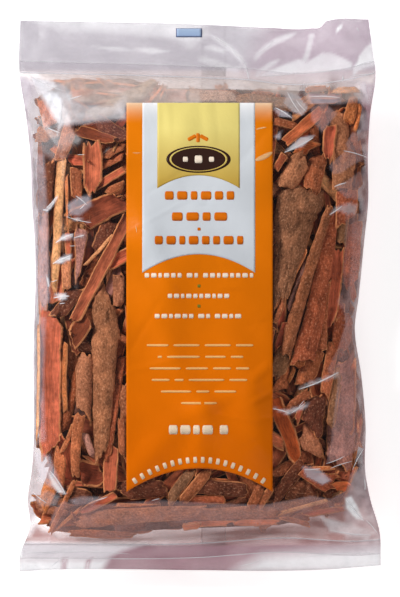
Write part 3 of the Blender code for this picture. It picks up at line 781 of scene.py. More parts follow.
# The marks on the fields: rows of bars, dashes and dots, inks printed in the same pass. Each row
# has its pixel row, its left and right, the bars' height, how many are in each group, and the
# gap between two; a row of dashes has their lengths instead.
ORANGE_BARS = ((196, 165, 234, 8.4, (6,), 3.4), (217, 172, 227, 8.4, (4,), 3.6),
               (240.5, 155, 243, 8.4, (8,), 3.4))
PALE_BARS = ((275.5, 145, 253, 4.6, (6, 2, 8), 2.0), (296, 168, 229, 4.4, (10,), 1.8),
             (316, 155, 241, 4.4, (6, 2, 4), 1.8), (429, 169, 228, 9.0, (4, 1), 2.6))
THIN_BARS = ((345, 147, 253, (5, 6, 6, 4)), (356.5, 158, 243, (1, 8, 5, 3)), (368, 150, 249, (7, 5, 4, 3)),
             (379.5, 152, 247, (4, 2, 8, 4)), (391, 161, 236, (7, 3, 5)), (402.5, 181, 217, (1,)))
THIN_HEIGHT, THIN_GAP = 2.2, 5
ORANGE_DOT, GREEN_DOTS, DOT_SIZE = (199, 229.5), ((199, 286), (199, 306)), 1.7 * MM
brown_ink = ink("brown_ink", linear(58, 36, 30), linear(48, 30, 26), 60 * MM, 90 * MM)
pale_ink = ink("pale_ink", linear(244, 226, 206), linear(232, 206, 176), -90 * MM, 20 * MM)
cream_ink = ink("cream_ink", linear(240, 186, 120), linear(232, 174, 104), -90 * MM, 20 * MM)
green_ink = ink("green_ink", linear(128, 124, 44), linear(120, 116, 40), -90 * MM, 20 * MM)
mark_ink = ink("mark_orange_ink", linear(224, 118, 20), linear(214, 104, 10), 20 * MM, 80 * MM)
printed_marks("orange_bars", [grid for row in ORANGE_BARS for grid in bars(*row)]
              + [rounded(from_photo(*ORANGE_DOT), DOT_SIZE, DOT_SIZE)], FIELD_MARKS, mark_ink)
printed_marks("green_dots", [rounded(from_photo(*dot), DOT_SIZE, DOT_SIZE) for dot in GREEN_DOTS],
              PANEL_MARKS, green_ink)

# The last row of bars runs along the panel's arch, at row + drop a^2 for a from -1 to 1 across it
ARCH_ENDS, ARCH_BARS, ARCH_ROW, ARCH_DROP, ARCH_BAR = (135, 263), 18, 459, 21, (3.6, 6.0)
arch_middle, arch_half = sum(ARCH_ENDS) / 2, (ARCH_ENDS[1] - ARCH_ENDS[0]) / 2
curved_row = []
for column in np.linspace(*ARCH_ENDS, ARCH_BARS):
    from_middle = (column - arch_middle) / arch_half
    slope = -2 * ARCH_DROP * from_middle / arch_half
    curved_row.append(rounded(from_photo(column, ARCH_ROW + ARCH_DROP * from_middle**2),
                              ARCH_BAR[0] * PHOTO_PIXEL, ARCH_BAR[1] * PHOTO_PIXEL, np.arctan(slope)))
printed_marks("pale_bars", [grid for row in PALE_BARS for grid in bars(*row)] + curved_row,
              PANEL_MARKS, pale_ink)
printed_marks("thin_bars", [grid for row, left, right, lengths in THIN_BARS
                            for grid in dashes(row, left, right, THIN_HEIGHT, lengths, THIN_GAP)],
              PANEL_MARKS, cream_ink)

# An oval with a ring and three dots, and three small leaves over it, all flat ink on the gold
# field. The disc and the ring are grids of turns round the middle by ways out from it.
OVAL, OVAL_SIZE, OVAL_TURNS = (198.5, 160), (64, 27), 65
RING_OUT, DISC_OUT = (0.9, 0.87, 0.84), np.linspace(1.0, 0.02, 18)
OVAL_DOTS = ((-13, 5), (0, 7.5), (13, 5))
LEAVES, LEAF_PLACE, LEAF_SIZE = ((-6, 0.5), (0, np.pi / 2), (6, -0.5)), (198, 138.5), (9, 3.8)
oval_x, oval_y = from_photo(*OVAL)
for name, out, level, material in (("brown_oval", DISC_OUT, FIELD_MARKS, brown_ink),
                                   ("gold_ring", RING_OUT, OVAL_MARKS, gold_ink)):
    turn, out = np.meshgrid(np.linspace(0, 2 * np.pi, OVAL_TURNS), out)
    printed_marks(name, [(oval_x + out * np.cos(turn) * OVAL_SIZE[0] / 2 * PHOTO_PIXEL,
                          oval_y + out * np.sin(turn) * OVAL_SIZE[1] / 2 * PHOTO_PIXEL)], level, material)
printed_marks("pale_dots", [rounded(from_photo(OVAL[0] + side, OVAL[1]),
                                    wide * PHOTO_PIXEL, wide * PHOTO_PIXEL)
                            for side, wide in OVAL_DOTS], OVAL_MARKS, pale_ink)
printed_marks("orange_leaves", [rounded(from_photo(LEAF_PLACE[0] + side, LEAF_PLACE[1]),
                                        LEAF_SIZE[0] * PHOTO_PIXEL, LEAF_SIZE[1] * PHOTO_PIXEL, turn)
                                for side, turn in LEAVES], FIELD_MARKS, mark_ink)

# The blue mark by which the packing machine finds the end of each bag: a small block of ink
# in the middle of the flap, pale blue inside a navy edge.
REGISTER_COLUMNS, REGISTER_ROWS, REGISTER_EDGE = (176, 202), (28, 37), 0.8
blue_ink = ink("blue_ink", linear(172, 192, 220), linear(142, 166, 204), 142 * MM, 148 * MM)
navy_ink = ink("navy_ink", linear(84, 92, 130), linear(76, 84, 124), 142 * MM, 148 * MM)
for name, inset, level, material in (("register_edge", 0.0, 0, navy_ink),
                                     ("register_mark", REGISTER_EDGE, PANEL_MARKS, blue_ink)):
    (left, right), (head, foot) = REGISTER_COLUMNS, REGISTER_ROWS
    columns = from_photo(np.linspace(left + inset, right - inset, 12), 0)[0]
    rows = from_photo(0, np.linspace(foot - inset, head + inset / 2, 6))[1]
    printed_marks(name, [np.meshgrid(columns, rows)], level, material)

# Painted glints on the print, where small folds of the printed film would catch the light. They are
# slivers of milky film over the ink, warmed by its colour; each row has both ends and the width, in pixels.
PRINT_GLINTS = ((255, 161, 272, 153, 5.0), (256, 130, 266, 128, 1.6), (133, 153.5, 141, 153.5, 0.9),
                (136, 226, 137, 233, 1.0))
PRINT_GLINT_LIFT, PRINT_GLINT_HAZE, PEACH = PRINT_LIFT + 3 * INK, 0.4, linear(252, 212, 150)
glint_strips("print_glints", PRINT_GLINTS, PRINT_GLINT_LIFT, PRINT_GLINT_HAZE, PEACH)


# The bark: strips of cassia bark broken by hand, 2 to 9 cm long, some flat, some curled into
# troughs and tubes. The outside is rough and grey-brown, the lining smooth and red-brown, the
# broken edges pale. Each strip lies as near the film as the film and the strips on it let it.
SHOWN_CELL, FRONT_CELL, BACK_CELL = 1.0 * MM, 1.2 * MM, 1.8 * MM
FILM_CLEARANCE, BARK_THICKNESS = 0.5 * MM, (0.6 * MM, 1.3 * MM)

# The outline of the bark as the photograph shows it, down both sides: rows and columns in pixels
BARK_LEFT = ((540, 92), (536, 66), (532, 48), (526, 37), (510, 33), (488, 40), (462, 50), (452, 45),
             (440, 35), (380, 38), (320, 40), (250, 41), (200, 38), (150, 36), (122, 34), (100, 40),
             (90, 50), (82, 55), (78, 76))
BARK_RIGHT = ((539, 110), (533, 134), (529, 159), (528, 230), (526, 290), (521, 313), (510, 344),
              (490, 350), (462, 356), (440, 361), (400, 361), (360, 356), (335, 350), (315, 355),
              (300, 357), (260, 361), (200, 359), (160, 365), (130, 355), (105, 362), (95, 358), (91, 345),
              (89.5, 300), (88.5, 245), (88, 165), (82, 158), (79, 140))

# Colours of the strips: the outside and the lining of each sort
BARK_TONES = {
    "grey": (linear(178, 112, 78), linear(198, 108, 72)),
    "olive": (linear(146, 97, 67), linear(180, 102, 68)),
    "brown": (linear(166, 92, 58), linear(198, 106, 68)),
    "dark": (linear(112, 60, 40), linear(134, 66, 43)),
    "rust": (linear(190, 106, 66), linear(206, 112, 74)),
    "red": (linear(176, 90, 58), linear(198, 100, 69)),
    "orange": (linear(218, 124, 72), linear(220, 120, 70)),
    "lilac": (linear(176, 122, 106), linear(182, 120, 104)),
    "tan": (linear(222, 156, 104), linear(226, 152, 100)),
    "pale": (linear(190, 158, 132), linear(204, 150, 120)),
    "umber": (linear(158, 92, 60), linear(174, 92, 64)),
    "ember": (linear(150, 76, 44), linear(188, 86, 42)),
}

# Strips that the photograph shows, those on top first: start and end in its pixels, width at
# both ends in pixels, curl in degrees (below 0 where the lining faces the film), and the sort.
# A strip's start and end are also the seed of its breaks and lumps.
# Some strips that lie in shade got the dark and ember sorts, whose darkness on them is painted shade.
SHOWN_STRIPS = (
    # left of the print
    (39, 322, 37, 442, 3.4, 2.8, 40, "tan"), (46, 101, 52, 127, 18, 15, 40, "rust"),
    (37, 134, 56, 137, 18, 10, 40, "grey"), (73, 121, 60, 161, 15, 12, 70, "brown"),
    (77, 130, 114, 142, 12, 10, -70, "dark"), (96, 122, 126, 140, 18, 16, 60, "dark"),
    (125, 128, 113, 152, 3, 2, 30, "tan"), (104, 158, 125, 146, 8, 7, 50, "brown"),
    (92, 144, 92, 194, 19, 16, -120, "grey"), (94, 170, 125, 155, 8, 8, 50, "brown"),
    (97, 187, 125, 170, 8, 8, -60, "red"), (107, 193, 125, 184, 8, 7, 50, "brown"),
    (68, 160, 88, 162, 13, 9, -40, "red"), (62, 157, 55, 293, 10, 8, 90, "tan"),
    (48, 163, 46, 212, 18, 16, 200, "dark"), (43, 165, 42, 312, 11, 10, 50, "lilac"),
    (76, 168, 77, 199, 12, 11, 30, "brown"), (67, 175, 68, 228, 3, 2, 40, "orange"),
    (86, 180, 77, 200, 4, 3, 40, "orange"), (77, 222, 126, 200, 26, 22, -100, "dark"),
    (81, 227, 77, 280, 15, 4, 60, "lilac"), (68, 231, 69, 254, 7, 6, -40, "red"),
    (130, 213, 75, 319, 12, 12, -80, "umber"), (115, 233, 86, 265, 4, 3, 40, "tan"),
    (112, 218, 95, 256, 16, 14, 40, "dark"), (101, 257, 84, 290, 16, 14, 50, "ember"),
    (67, 260, 67, 290, 10, 9, 50, "grey"), (78, 289, 56, 318, 16, 14, 70, "dark"),
    (88, 318, 72, 340, 18, 16, -110, "dark"), (52, 314, 51, 449, 24, 21, -60, "red"),
    (66, 341, 66, 412, 6, 5, 60, "orange"), (120, 274, 119, 306, 12, 11, 60, "grey"),
    (108, 296, 101, 454, 30, 12, 110, "grey"), (85, 354, 85, 413, 20, 16, 160, "grey"),
    (78, 347, 96, 347, 14, 13, 60, "dark"), (122, 358, 108, 458, 9, 8, 60, "red"),
    (113, 447, 110, 489, 15, 13, -70, "red"), (80, 413, 76, 477, 11, 8, 60, "rust"),
    (84, 432, 94, 458, 8, 6, 50, "lilac"), (75, 422, 62, 452, 5, 5, 40, "rust"),
    (60, 450, 58, 490, 12, 10, 60, "rust"), (80, 470, 103, 476, 24, 22, -120, "dark"),
    (122, 416, 123, 455, 8, 7, 50, "brown"),
    # under the milky head of the pillow
    (53, 80, 101, 82, 3.0, 2.4, 40, "orange"), (100, 82, 139, 86, 2.6, 1.6, 40, "orange"),
    (68, 96, 76, 88, 2.6, 2.0, 40, "orange"), (75, 88, 120, 96, 2.6, 1.8, 40, "orange"),
    (150, 101, 164, 85, 4, 3, 40, "orange"), (160, 100, 166, 86, 2.4, 1.8, 40, "orange"),
    (92, 117, 158, 82, 15, 13, 90, "pale"), (56, 84, 137, 90, 10, 8, -60, "lilac"),
    (68, 99, 114, 100, 14, 10, -60, "pale"), (84, 116, 124, 107, 12, 10, 60, "lilac"),
    (64, 118, 92, 100, 8, 6, 50, "pale"), (165, 95, 187, 96, 12, 12, -60, "lilac"),
    (186, 95, 235, 97, 12, 12, 60, "pale"), (237, 97, 301, 106, 14, 13, 70, "olive"),
    # under the print and along the foot
    (54, 478, 43, 508, 16, 12, 50, "orange"), (46, 503, 45, 533, 16, 14, 50, "orange"),
    (75, 480, 50, 533, 5, 4, 50, "rust"), (82, 511, 116, 494, 9, 8, -60, "red"),
    (84, 506, 52, 533, 4, 3, 40, "orange"), (77, 520, 200, 512, 16, 13, 100, "grey"),
    (114, 505, 159, 505, 4, 3, 40, "orange"), (118, 489, 165, 489, 20, 18, 70, "dark"),
    (190, 470, 168, 503, 12, 10, 70, "olive"), (70, 532, 135, 535, 8, 7, 60, "brown"),
    (183, 527, 201, 525, 7, 6, -70, "orange"), (64, 494, 94, 498, 20, 16, 40, "dark"),
    (207, 470, 182, 502, 12, 11, 60, "brown"), (200, 485, 247, 490, 16, 15, 70, "dark"),
    (205, 479, 229, 480, 4, 3, 40, "orange"), (262, 484, 250, 508, 10, 9, 60, "brown"),
    (272, 487, 258, 508, 8, 8, 50, "brown"), (180, 514, 278, 512, 12, 12, 80, "grey"),
    (187, 524, 230, 523, 7, 6, -60, "orange"), (234, 522, 278, 522, 7, 6, -60, "orange"),
    (279, 513, 327, 500, 4, 4, 40, "tan"), (303, 515, 344, 508, 7, 6, -50, "red"),
    (281, 517, 309, 525, 5, 5, 50, "brown"), (302, 470, 330, 490, 12, 10, 60, "red"),
    (333, 488, 353, 486, 12, 10, -50, "orange"), (305, 462, 273, 500, 14, 12, 60, "dark"),
    (286, 488, 315, 492, 22, 18, 50, "dark"),
    # right of the print
    (307, 98, 340, 98, 3, 2, 40, "tan"), (333, 91, 359, 90, 7, 6, 50, "tan"),
    (306, 88, 328, 86, 6, 5, 50, "brown"), (309, 97, 339, 96, 15, 14, -60, "lilac"),
    (355, 95, 348, 125, 9, 12, 50, "orange"), (360, 105, 355, 131, 5, 4, 50, "orange"),
    (339, 97, 353, 96, 9, 9, -60, "lilac"), (322, 110, 283, 144, 12, 10, -70, "orange"),
    (273, 122, 299, 128, 8, 7, 50, "brown"), (303, 156, 284, 188, 20, 18, 120, "grey"),
    (296, 146, 313, 150, 18, 16, -60, "orange"), (285, 154, 275, 170, 8, 7, 50, "red"),
    (314, 126, 316, 156, 9, 8, 60, "brown"), (331, 125, 327, 160, 13, 11, -90, "red"),
    (338, 110, 343, 156, 18, 16, 80, "grey"), (345, 149, 342, 190, 22, 19, 90, "grey"),
    (347, 168, 362, 170, 22, 16, 50, "dark"), (318, 155, 312, 192, 20, 17, 80, "brown"),
    (295, 184, 309, 182, 14, 12, -50, "red"), (301, 187, 276, 300, 50, 14, 80, "olive"),
    (346, 188, 345, 224, 22, 20, 60, "red"), (304, 251, 283, 290, 9, 8, -60, "orange"),
    (330, 208, 283, 354, 7, 15, 170, "umber"), (309, 262, 290, 310, 10, 9, 50, "lilac"),
    (333, 212, 302, 362, 9, 24, 70, "red"), (323, 285, 320, 350, 15, 13, 60, "brown"),
    (337, 250, 330, 325, 15, 13, -90, "red"), (344, 205, 341, 243, 11, 10, 60, "olive"),
    (353, 224, 349, 286, 18, 16, 70, "red"), (283, 298, 275, 322, 7, 5, 50, "brown"),
    (286, 322, 276, 350, 8, 6, -50, "red"), (340, 303, 340, 317, 11, 9, 40, "red"),
    (348, 310, 346, 350, 20, 18, 60, "red"), (290, 340, 275, 378, 18, 15, 80, "olive"),
    (300, 338, 296, 366, 17, 15, 60, "orange"), (318, 340, 304, 384, 20, 17, 80, "brown"),
    (294, 367, 288, 382, 5, 4, 40, "orange"), (333, 345, 324, 395, 12, 11, 60, "rust"),
    (338, 365, 330, 426, 10, 9, 60, "olive"), (345, 360, 340, 465, 30, 26, 90, "lilac"),
    (309, 391, 286, 408, 8, 7, 50, "brown"), (303, 400, 296, 421, 6, 6, -50, "red"),
    (316, 396, 312, 430, 22, 20, 70, "dark"), (273, 398, 298, 463, 16, 14, -90, "ember"),
    (303, 428, 315, 455, 20, 17, 80, "grey"), (307, 452, 272, 475, 12, 11, 60, "brown"),
    (301, 468, 335, 468, 4, 4, 40, "orange"), (334, 465, 357, 466, 11, 8, 60, "dark"),
    (302, 482, 334, 480, 17, 14, 60, "red"),
)

FLATTEST_CURL, ACROSS_CELLS, ALONG_CELLS = 12, (3, 60), (5, 130)
JAG_SHARE, LONGEST_JAG, SLANT = 0.06, 1.8 * MM, 0.5
EDGE_WAVE, EDGE_CHIPS, BROKEN_CORNER, CORNER_REACH = 0.07, 0.08, 0.85, (0.1, 0.5)
LUMPS, GRAINS, PITS, LINING_RELIEF = 0.26, 0.16, 0.14, 0.10
TUBE_WIND, TIGHTEST = 0.14, 0.25 * MM
BEND, SAG, TWIST = 0.014, 0.012, 0.16
PALE_EDGE, GRAIN_SHIFT = (0.05 * MM, 0.75 * MM), (-3, 3)


def bark_strip(pick, long, start_width, end_width, curl, thick, cell):
    """A strip that runs along x: its outside and lining as grids, its grain, and the way to its edge.

    A curl of c degrees lays it round a circle of radius (half width) / sin(c / 2); beyond 180
    degrees the radius stays half its width, and it winds into itself as a tube. Bend, sag and
    twist go as 1 - t^2, 1 - t^2 and t, with t from -1 to 1 along it.
    """
    arc = np.radians(max(abs(curl), FLATTEST_CURL))
    bow = 1 / np.sin(min(arc, np.pi) / 2)
    developed = max(start_width, end_width) / 2 * bow * arc
    shape = (int(np.clip(developed / cell, *ACROSS_CELLS)) + 1, int(np.clip(long / cell, *ALONG_CELLS)) + 1)
    across, along = np.meshgrid(np.linspace(-1, 1, shape[0]), np.linspace(-1, 1, shape[1]), indexing="ij")
    x = long / 2 * along
    for end in (-1, 1):
        jag = wander(pick, (shape[0], 1), (max(3, shape[0] // 2), 1)) * min(JAG_SHARE * long, LONGEST_JAG)
        slant = np.clip(pick.normal(0, SLANT), -1.0, 1.0) * across * start_width / 2
        x = x + (jag + slant) * np.clip(end * along, 0, 1) ** 2
    edge = wander(pick, (2, shape[1]), (1, max(2, shape[1] // 9)))
    chips = wander(pick, (2, shape[1]), (1, max(3, shape[1] // 2)))
    edge = EDGE_WAVE * edge + EDGE_CHIPS * np.minimum(chips, 0)
    half = (start_width + (end_width - start_width) * (along + 1) / 2) / 2
    cut, reach = BROKEN_CORNER * pick.uniform(0, 1, (2, 2)) ** 2, pick.uniform(*CORNER_REACH, (2, 2))
    corner = (along > 0).astype(int), (across > 0).astype(int)
    half = half * (1 - cut[corner] * np.clip((np.abs(along) - 1) / reach[corner] + 1, 0, 1))
    half = half * (1 + np.where(across > 0, edge[0], edge[1]))
    wind = 1 - TUBE_WIND * (across + 1) / 2 * (arc > np.pi)
    middle = half * bow * wind
    turn = across * arc / 2
    lumps = wander(pick, shape, (max(2, shape[0] // 5), max(2, shape[1] // 6)))
    grains = wander(pick, shape, (max(3, int(shape[0] // 1.8)), max(2, shape[1] // 9)))
    pits = wander(pick, shape, (max(3, shape[0] // 2), max(3, shape[1] // 2)))
    outside = middle + thick / 2 + (LUMPS * lumps + GRAINS * grains + PITS * pits) * MM
    lining = np.maximum(middle - thick / 2 + (LINING_RELIEF * lumps + LINING_RELIEF * grains) * MM, TIGHTEST)
    bend, sag = pick.normal(0, BEND) * long, pick.normal(0, SAG) * long
    twist = pick.normal(0, TWIST) * along
    sheets = []
    for radius in (outside, lining):
        y, z = radius * np.sin(turn), radius * np.cos(turn) - np.mean(half) * bow
        z = z if curl > 0 else -z
        y, z = y * np.cos(twist) - z * np.sin(twist), y * np.sin(twist) + z * np.cos(twist)
        sheets.append(np.stack((x, y + bend * (1 - along**2), z + sag * (1 - along**2)), -1))
    grain = np.stack((x, middle * turn), -1) + pick.uniform(*GRAIN_SHIFT, 2)
    pale = pick.uniform(*PALE_EDGE, 4)
    from_side, from_end = middle * arc / 2, long / 2
    edge = np.minimum.reduce(((1 - across) * from_side / pale[0], (1 + across) * from_side / pale[1],
                              (1 - along) * from_end / pale[2], (1 + along) * from_end / pale[3]))
    return sheets, grain, edge


# Heights are kept on a map of 1 mm cells that covers the bag
MAP_LEFT, MAP_FOOT, MAP_COLUMNS, MAP_ROWS = -104 * MM, -158 * MM, 209, 317
map_x, map_y = np.meshgrid(np.arange(MAP_COLUMNS) * MM + MAP_LEFT, np.arange(MAP_ROWS) * MM + MAP_FOOT)


def read_map(heights, x, y):
    """Height of a map of 1 mm cells at (x, y), straight between its points."""
    column = np.clip((x - MAP_LEFT) / MM, 0, MAP_COLUMNS - 1.001)
    row = np.clip((y - MAP_FOOT) / MM, 0, MAP_ROWS - 1.001)
    i, j = row.astype(int), column.astype(int)
    to_row, to_column = row - i, column - j
    near = heights[i, j] * (1 - to_column) + heights[i, j + 1] * to_column
    far = heights[i + 1, j] * (1 - to_column) + heights[i + 1, j + 1] * to_column
    return near * (1 - to_row) + far * to_row


def kept_inside(x, y, margin):
    """Moves a strip's points as one until they are inside the bag, and then those left outside, singly."""
    for settle in range(2):
        middle, half = side_to_side(y)
        off_x = x - np.clip(x, middle - half + margin, middle + half - margin)
        foot, head = smooth_through(FOOT_SEAL, x) + margin, smooth_through(HEAD_SEAL, x) - margin
        off_y = y - np.clip(y, foot, head)
        if settle == 0:
            off_x, off_y = (off.flat[np.argmax(np.abs(off))] for off in (off_x, off_y))
        x, y = x - off_x, y - off_y
    return x, y


STEEPEST_TILT, SIDE_MARGIN, STRIP_GAP = 0.3, 1.2 * MM, 0.1 * MM
MOST_OUTSIDE, MOST_BURIED, PRESSED_IN = 0.08, 0.4, 5


class Layer:
    """The strips under one sheet of the film. Heights count outward, so the back's are turned round."""

    def __init__(self, film_heights, form_heights, far_heights):
        self.film, self.form, self.far = film_heights, form_heights, far_heights
        self.ceiling = film_heights.copy()
        self.covered = np.zeros(film_heights.shape, bool)

    def place(self, sheets, over_first, at, heading, strict):
        """Turns a strip by its heading, tilts it to fit under the others, and lifts it up to them.

        The tilt is the plane that fits the room over its cells best, by least squares. A strip that
        would stand out of the bark or be buried under the far sheet isn't placed.
        """
        over, under = sheets if over_first else sheets[::-1]
        both = np.stack((over, under))
        x = both[..., 0] * np.cos(heading) - both[..., 1] * np.sin(heading) + at[0]
        y = both[..., 0] * np.sin(heading) + both[..., 1] * np.cos(heading) + at[1]
        if strict and np.mean(read_map(bark_map, x, y) < 0.5) > MOST_OUTSIDE:
            return None
        x, y = kept_inside(x, y, SIDE_MARGIN)
        z = both[..., 2] + read_map(self.form, x, y)
        spots = [(x, y, z)]
        spots.append([(a[:, 1:, 1:] + a[:, :-1, :-1]) / 2 for a in (x, y, z)])
        spots.append([(a[:, 1:] + a[:, :-1]) / 2 for a in (x, y, z)])
        cell_x, cell_y, cell_z = (np.concatenate([spot[k].ravel() for spot in spots]) for k in range(3))
        rows = np.round((cell_y - MAP_FOOT) / MM).astype(int)
        cell = rows * self.film.shape[1] + np.round((cell_x - MAP_LEFT) / MM).astype(int)
        top, low = np.full(self.film.size, -1.0), np.full(self.film.size, 1.0)
        np.maximum.at(top, cell, cell_z)
        np.minimum.at(low, cell, cell_z)
        cell = np.unique(cell)
        room = self.ceiling.flat[cell] - top[cell]
        side_x, side_y = map_x.flat[cell] - at[0], map_y.flat[cell] - at[1]
        fit = np.linalg.lstsq(np.stack((side_x, side_y, np.ones(len(cell))), -1), room, rcond=None)[0]
        tilt_x, tilt_y = np.clip(fit[:2], -STEEPEST_TILT, STEEPEST_TILT)
        room -= tilt_x * side_x + tilt_y * side_y
        lift = np.percentile(room, PRESSED_IN)
        z = z + tilt_x * (x - at[0]) + tilt_y * (y - at[1]) + lift
        z = np.minimum(z, read_map(self.film, x, y))
        low_z = low[cell] + tilt_x * side_x + tilt_y * side_y + lift
        if np.mean(low_z < self.far.flat[cell]) > MOST_BURIED:
            return None
        z = np.maximum(z, read_map(self.far, x, y))
        self.ceiling.flat[cell] = np.minimum(self.ceiling.flat[cell], low_z - STRIP_GAP)
        self.covered.flat[cell] = True
        return np.stack((x, y, z), -1)


class Heap:
    """The strips of one sort, gathered into one mesh."""

    def __init__(self):
        self.points, self.quads, self.count = [], [], 0
        self.tones, self.rough, self.grain, self.rim, self.edge = [], [], [], [], []

    def take(self, placed, grain, edge, colours, outside_over, paleness):
        """Adds a placed strip, with the colours of its outside and lining and how pale its rim is."""
        points, quads, faces = sewn(*placed)
        self.points.append(points)
        self.quads.append(quads + self.count)
        self.count += len(points)
        self.rim.append(np.repeat((0.0, paleness), (2 * faces, len(quads) - 2 * faces)))
        each = len(points) // 2
        first, second = (0, 1) if outside_over else (1, 0)
        self.tones.append(np.repeat((colours[first], colours[second]), each, axis=0))
        self.rough.append(np.repeat((1.0 - first, 1.0 - second), each))
        self.grain.append(np.concatenate((grain, grain)).reshape(-1, 2))
        self.edge.append(np.concatenate((edge, edge)).ravel())

    def mesh(self, name, material):
        """Makes the piece, whose rims are flat-faced."""
        rim = np.concatenate(self.rim)
        piece = add_piece(name, np.concatenate(self.points), np.concatenate(self.quads), material,
                          sharp=rim > 0, tone=np.concatenate(self.tones), rough=np.concatenate(self.rough),
                          grain=np.concatenate(self.grain), rim=rim, edge=np.concatenate(self.edge))
        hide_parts("bag")


CHIP_LENGTH, QUILL_CURL, SPLINTER_WIDTH = 27 * MM, 100, 4.2 * MM
THICKNESS_SHARE, RIM_PALENESS = (0.1, 0.02), (0.25, 1.0)
SHADE_SPREAD, SHADES, TINT_SPREAD = 0.07, (0.8, 1.2), 0.025
heaps = {name: Heap() for name in ("bark_quills", "bark_shards", "bark_chips", "bark_splinters")}


def add_strip(pick, layer, start, end, widths, curl, tone, cell, outward=1, strict=False):
    """Makes a strip between two points, places it in a layer and puts it in the heap of its sort."""
    way = np.array(end) - np.array(start)
    thick = np.clip(pick.normal(*THICKNESS_SHARE) * max(widths), *BARK_THICKNESS)
    sheets, grain, edge = bark_strip(pick, np.hypot(*way), *widths, curl, thick, cell)
    middle = (np.array(start) + np.array(end)) / 2
    placed = layer.place(sheets, curl > 0, middle, np.arctan2(way[1], way[0]), strict)
    if placed is None:
        return
    outside_over = curl > 0
    if outward < 0:
        placed = placed[::-1] * (1, 1, -1)
        outside_over = not outside_over
    shade = np.clip(pick.normal(1, SHADE_SPREAD), *SHADES) * pick.normal(1, TINT_SPREAD, 3)
    colours = np.array(BARK_TONES[tone]) * shade
    name = "bark_chips" if np.hypot(*way) < CHIP_LENGTH else "bark_shards"
    name = "bark_quills" if abs(curl) >= QUILL_CURL else name
    name = "bark_splinters" if max(widths) < SPLINTER_WIDTH else name
    heaps[name].take(placed, grain, edge, colours, outside_over, pick.uniform(*RIM_PALENESS))


bark_field = polygon_share(
    map_x, map_y, [(x, y) for y, x in (*BARK_LEFT, *BARK_RIGHT[::-1])], 1 * MM) > 0.5
bark_map = bark_field.astype(float)
front_heights = front_film(map_x, map_y)
back_heights = back_form(map_x, map_y)
front_smooth = seal_plane(map_x, map_y) + FRONT_BULGE * fullness(map_x, map_y)
front_layer = Layer(front_heights - FILM_CLEARANCE, front_smooth, back_heights + FILM_CLEARANCE)
back_layer = Layer(-back_heights - FILM_CLEARANCE, -back_heights, -front_heights + FILM_CLEARANCE)

for start_x, start_y, end_x, end_y, start_width, end_width, curl, tone in SHOWN_STRIPS:
    widths = (start_width * PHOTO_PIXEL, end_width * PHOTO_PIXEL)
    add_strip(np.random.default_rng((start_x, start_y, end_x, end_y)), front_layer,
              from_photo(start_x, start_y), from_photo(end_x, end_y), widths, curl, tone, SHOWN_CELL)

# The rest of the bark is placed by chance. It lies across the bag near its ends and along it
# at its sides; tones have a share each, in the order of BARK_TONES.
LEVEL_FOOT, LEVEL_HEAD, SIDE_ZONE = -108 * MM, 111 * MM, 12 * MM
ORDERLY, LOOSE = 0.2, 0.75
USUAL_LENGTH, SHORTEST, LONGEST = 26, 9, 70
USUAL_WIDTH, NARROWEST, WIDEST, STOUTEST = 7.5, 2.5, 16, 0.6
SIZE_SPREAD, TAPER = 0.4, (0.45, 1.0)
CURLS = (35, 50, 70, 90, 130, -45, -70, -100)
TONE_SHARES = (0.14, 0.1, 0.18, 0.2, 0.06, 0.08, 0.01, 0.03, 0.02, 0.0, 0.1, 0.08)
FRONT_SHARE, FRONT_TRIES, BACK_SHARE, BACK_TRIES, BARK_SEED = 0.985, 700, 0.97, 500, 21
UNDER_EDGE = 6 * MM
bark_pick = np.random.default_rng(BARK_SEED)


def fill(layer, open_cells, share, tries, outward):
    """Puts random strips under the places still open, until a share of the open cells is covered."""
    total = open_cells.sum()
    for _ in range(tries):
        left = np.flatnonzero(open_cells & ~layer.covered)
        if len(left) < (1 - share) * total:
            return
        spot = bark_pick.choice(left)
        at = np.array((map_x.flat[spot], map_y.flat[spot]))
        middle, half = side_to_side(at[1])
        level = at[1] < LEVEL_FOOT or at[1] > LEVEL_HEAD
        spread = ORDERLY if level or abs(at[0] - middle) > half - SIDE_ZONE else LOOSE
        heading = bark_pick.normal(0 if level else np.pi / 2, spread)
        long = np.clip(bark_pick.lognormal(np.log(USUAL_LENGTH), SIZE_SPREAD), SHORTEST, LONGEST) * MM
        wide = np.clip(bark_pick.lognormal(np.log(USUAL_WIDTH), SIZE_SPREAD), NARROWEST, WIDEST) * MM
        wide = min(wide, STOUTEST * long)
        curl = bark_pick.choice(CURLS)
        tone = bark_pick.choice(tuple(BARK_TONES), p=TONE_SHARES)
        run = np.array((np.cos(heading), np.sin(heading))) * long / 2
        widths = (wide, wide * bark_pick.uniform(*TAPER))
        cell = FRONT_CELL if outward > 0 else BACK_CELL
        add_strip(bark_pick, layer, at - run, at + run, widths, int(curl), str(tone), cell, outward, True)


under_print = (map_x > PANEL_LEFT + UNDER_EDGE) & (map_x < PANEL_RIGHT - UNDER_EDGE)
under_print &= (map_y > PANEL_CORNER + PANEL_ARCH + UNDER_EDGE) & (map_y < PANEL_HEAD - UNDER_EDGE)
fill(front_layer, bark_field & ~under_print, FRONT_SHARE, FRONT_TRIES, 1)
fill(back_layer, bark_field, BACK_SHARE, BACK_TRIES, -1)

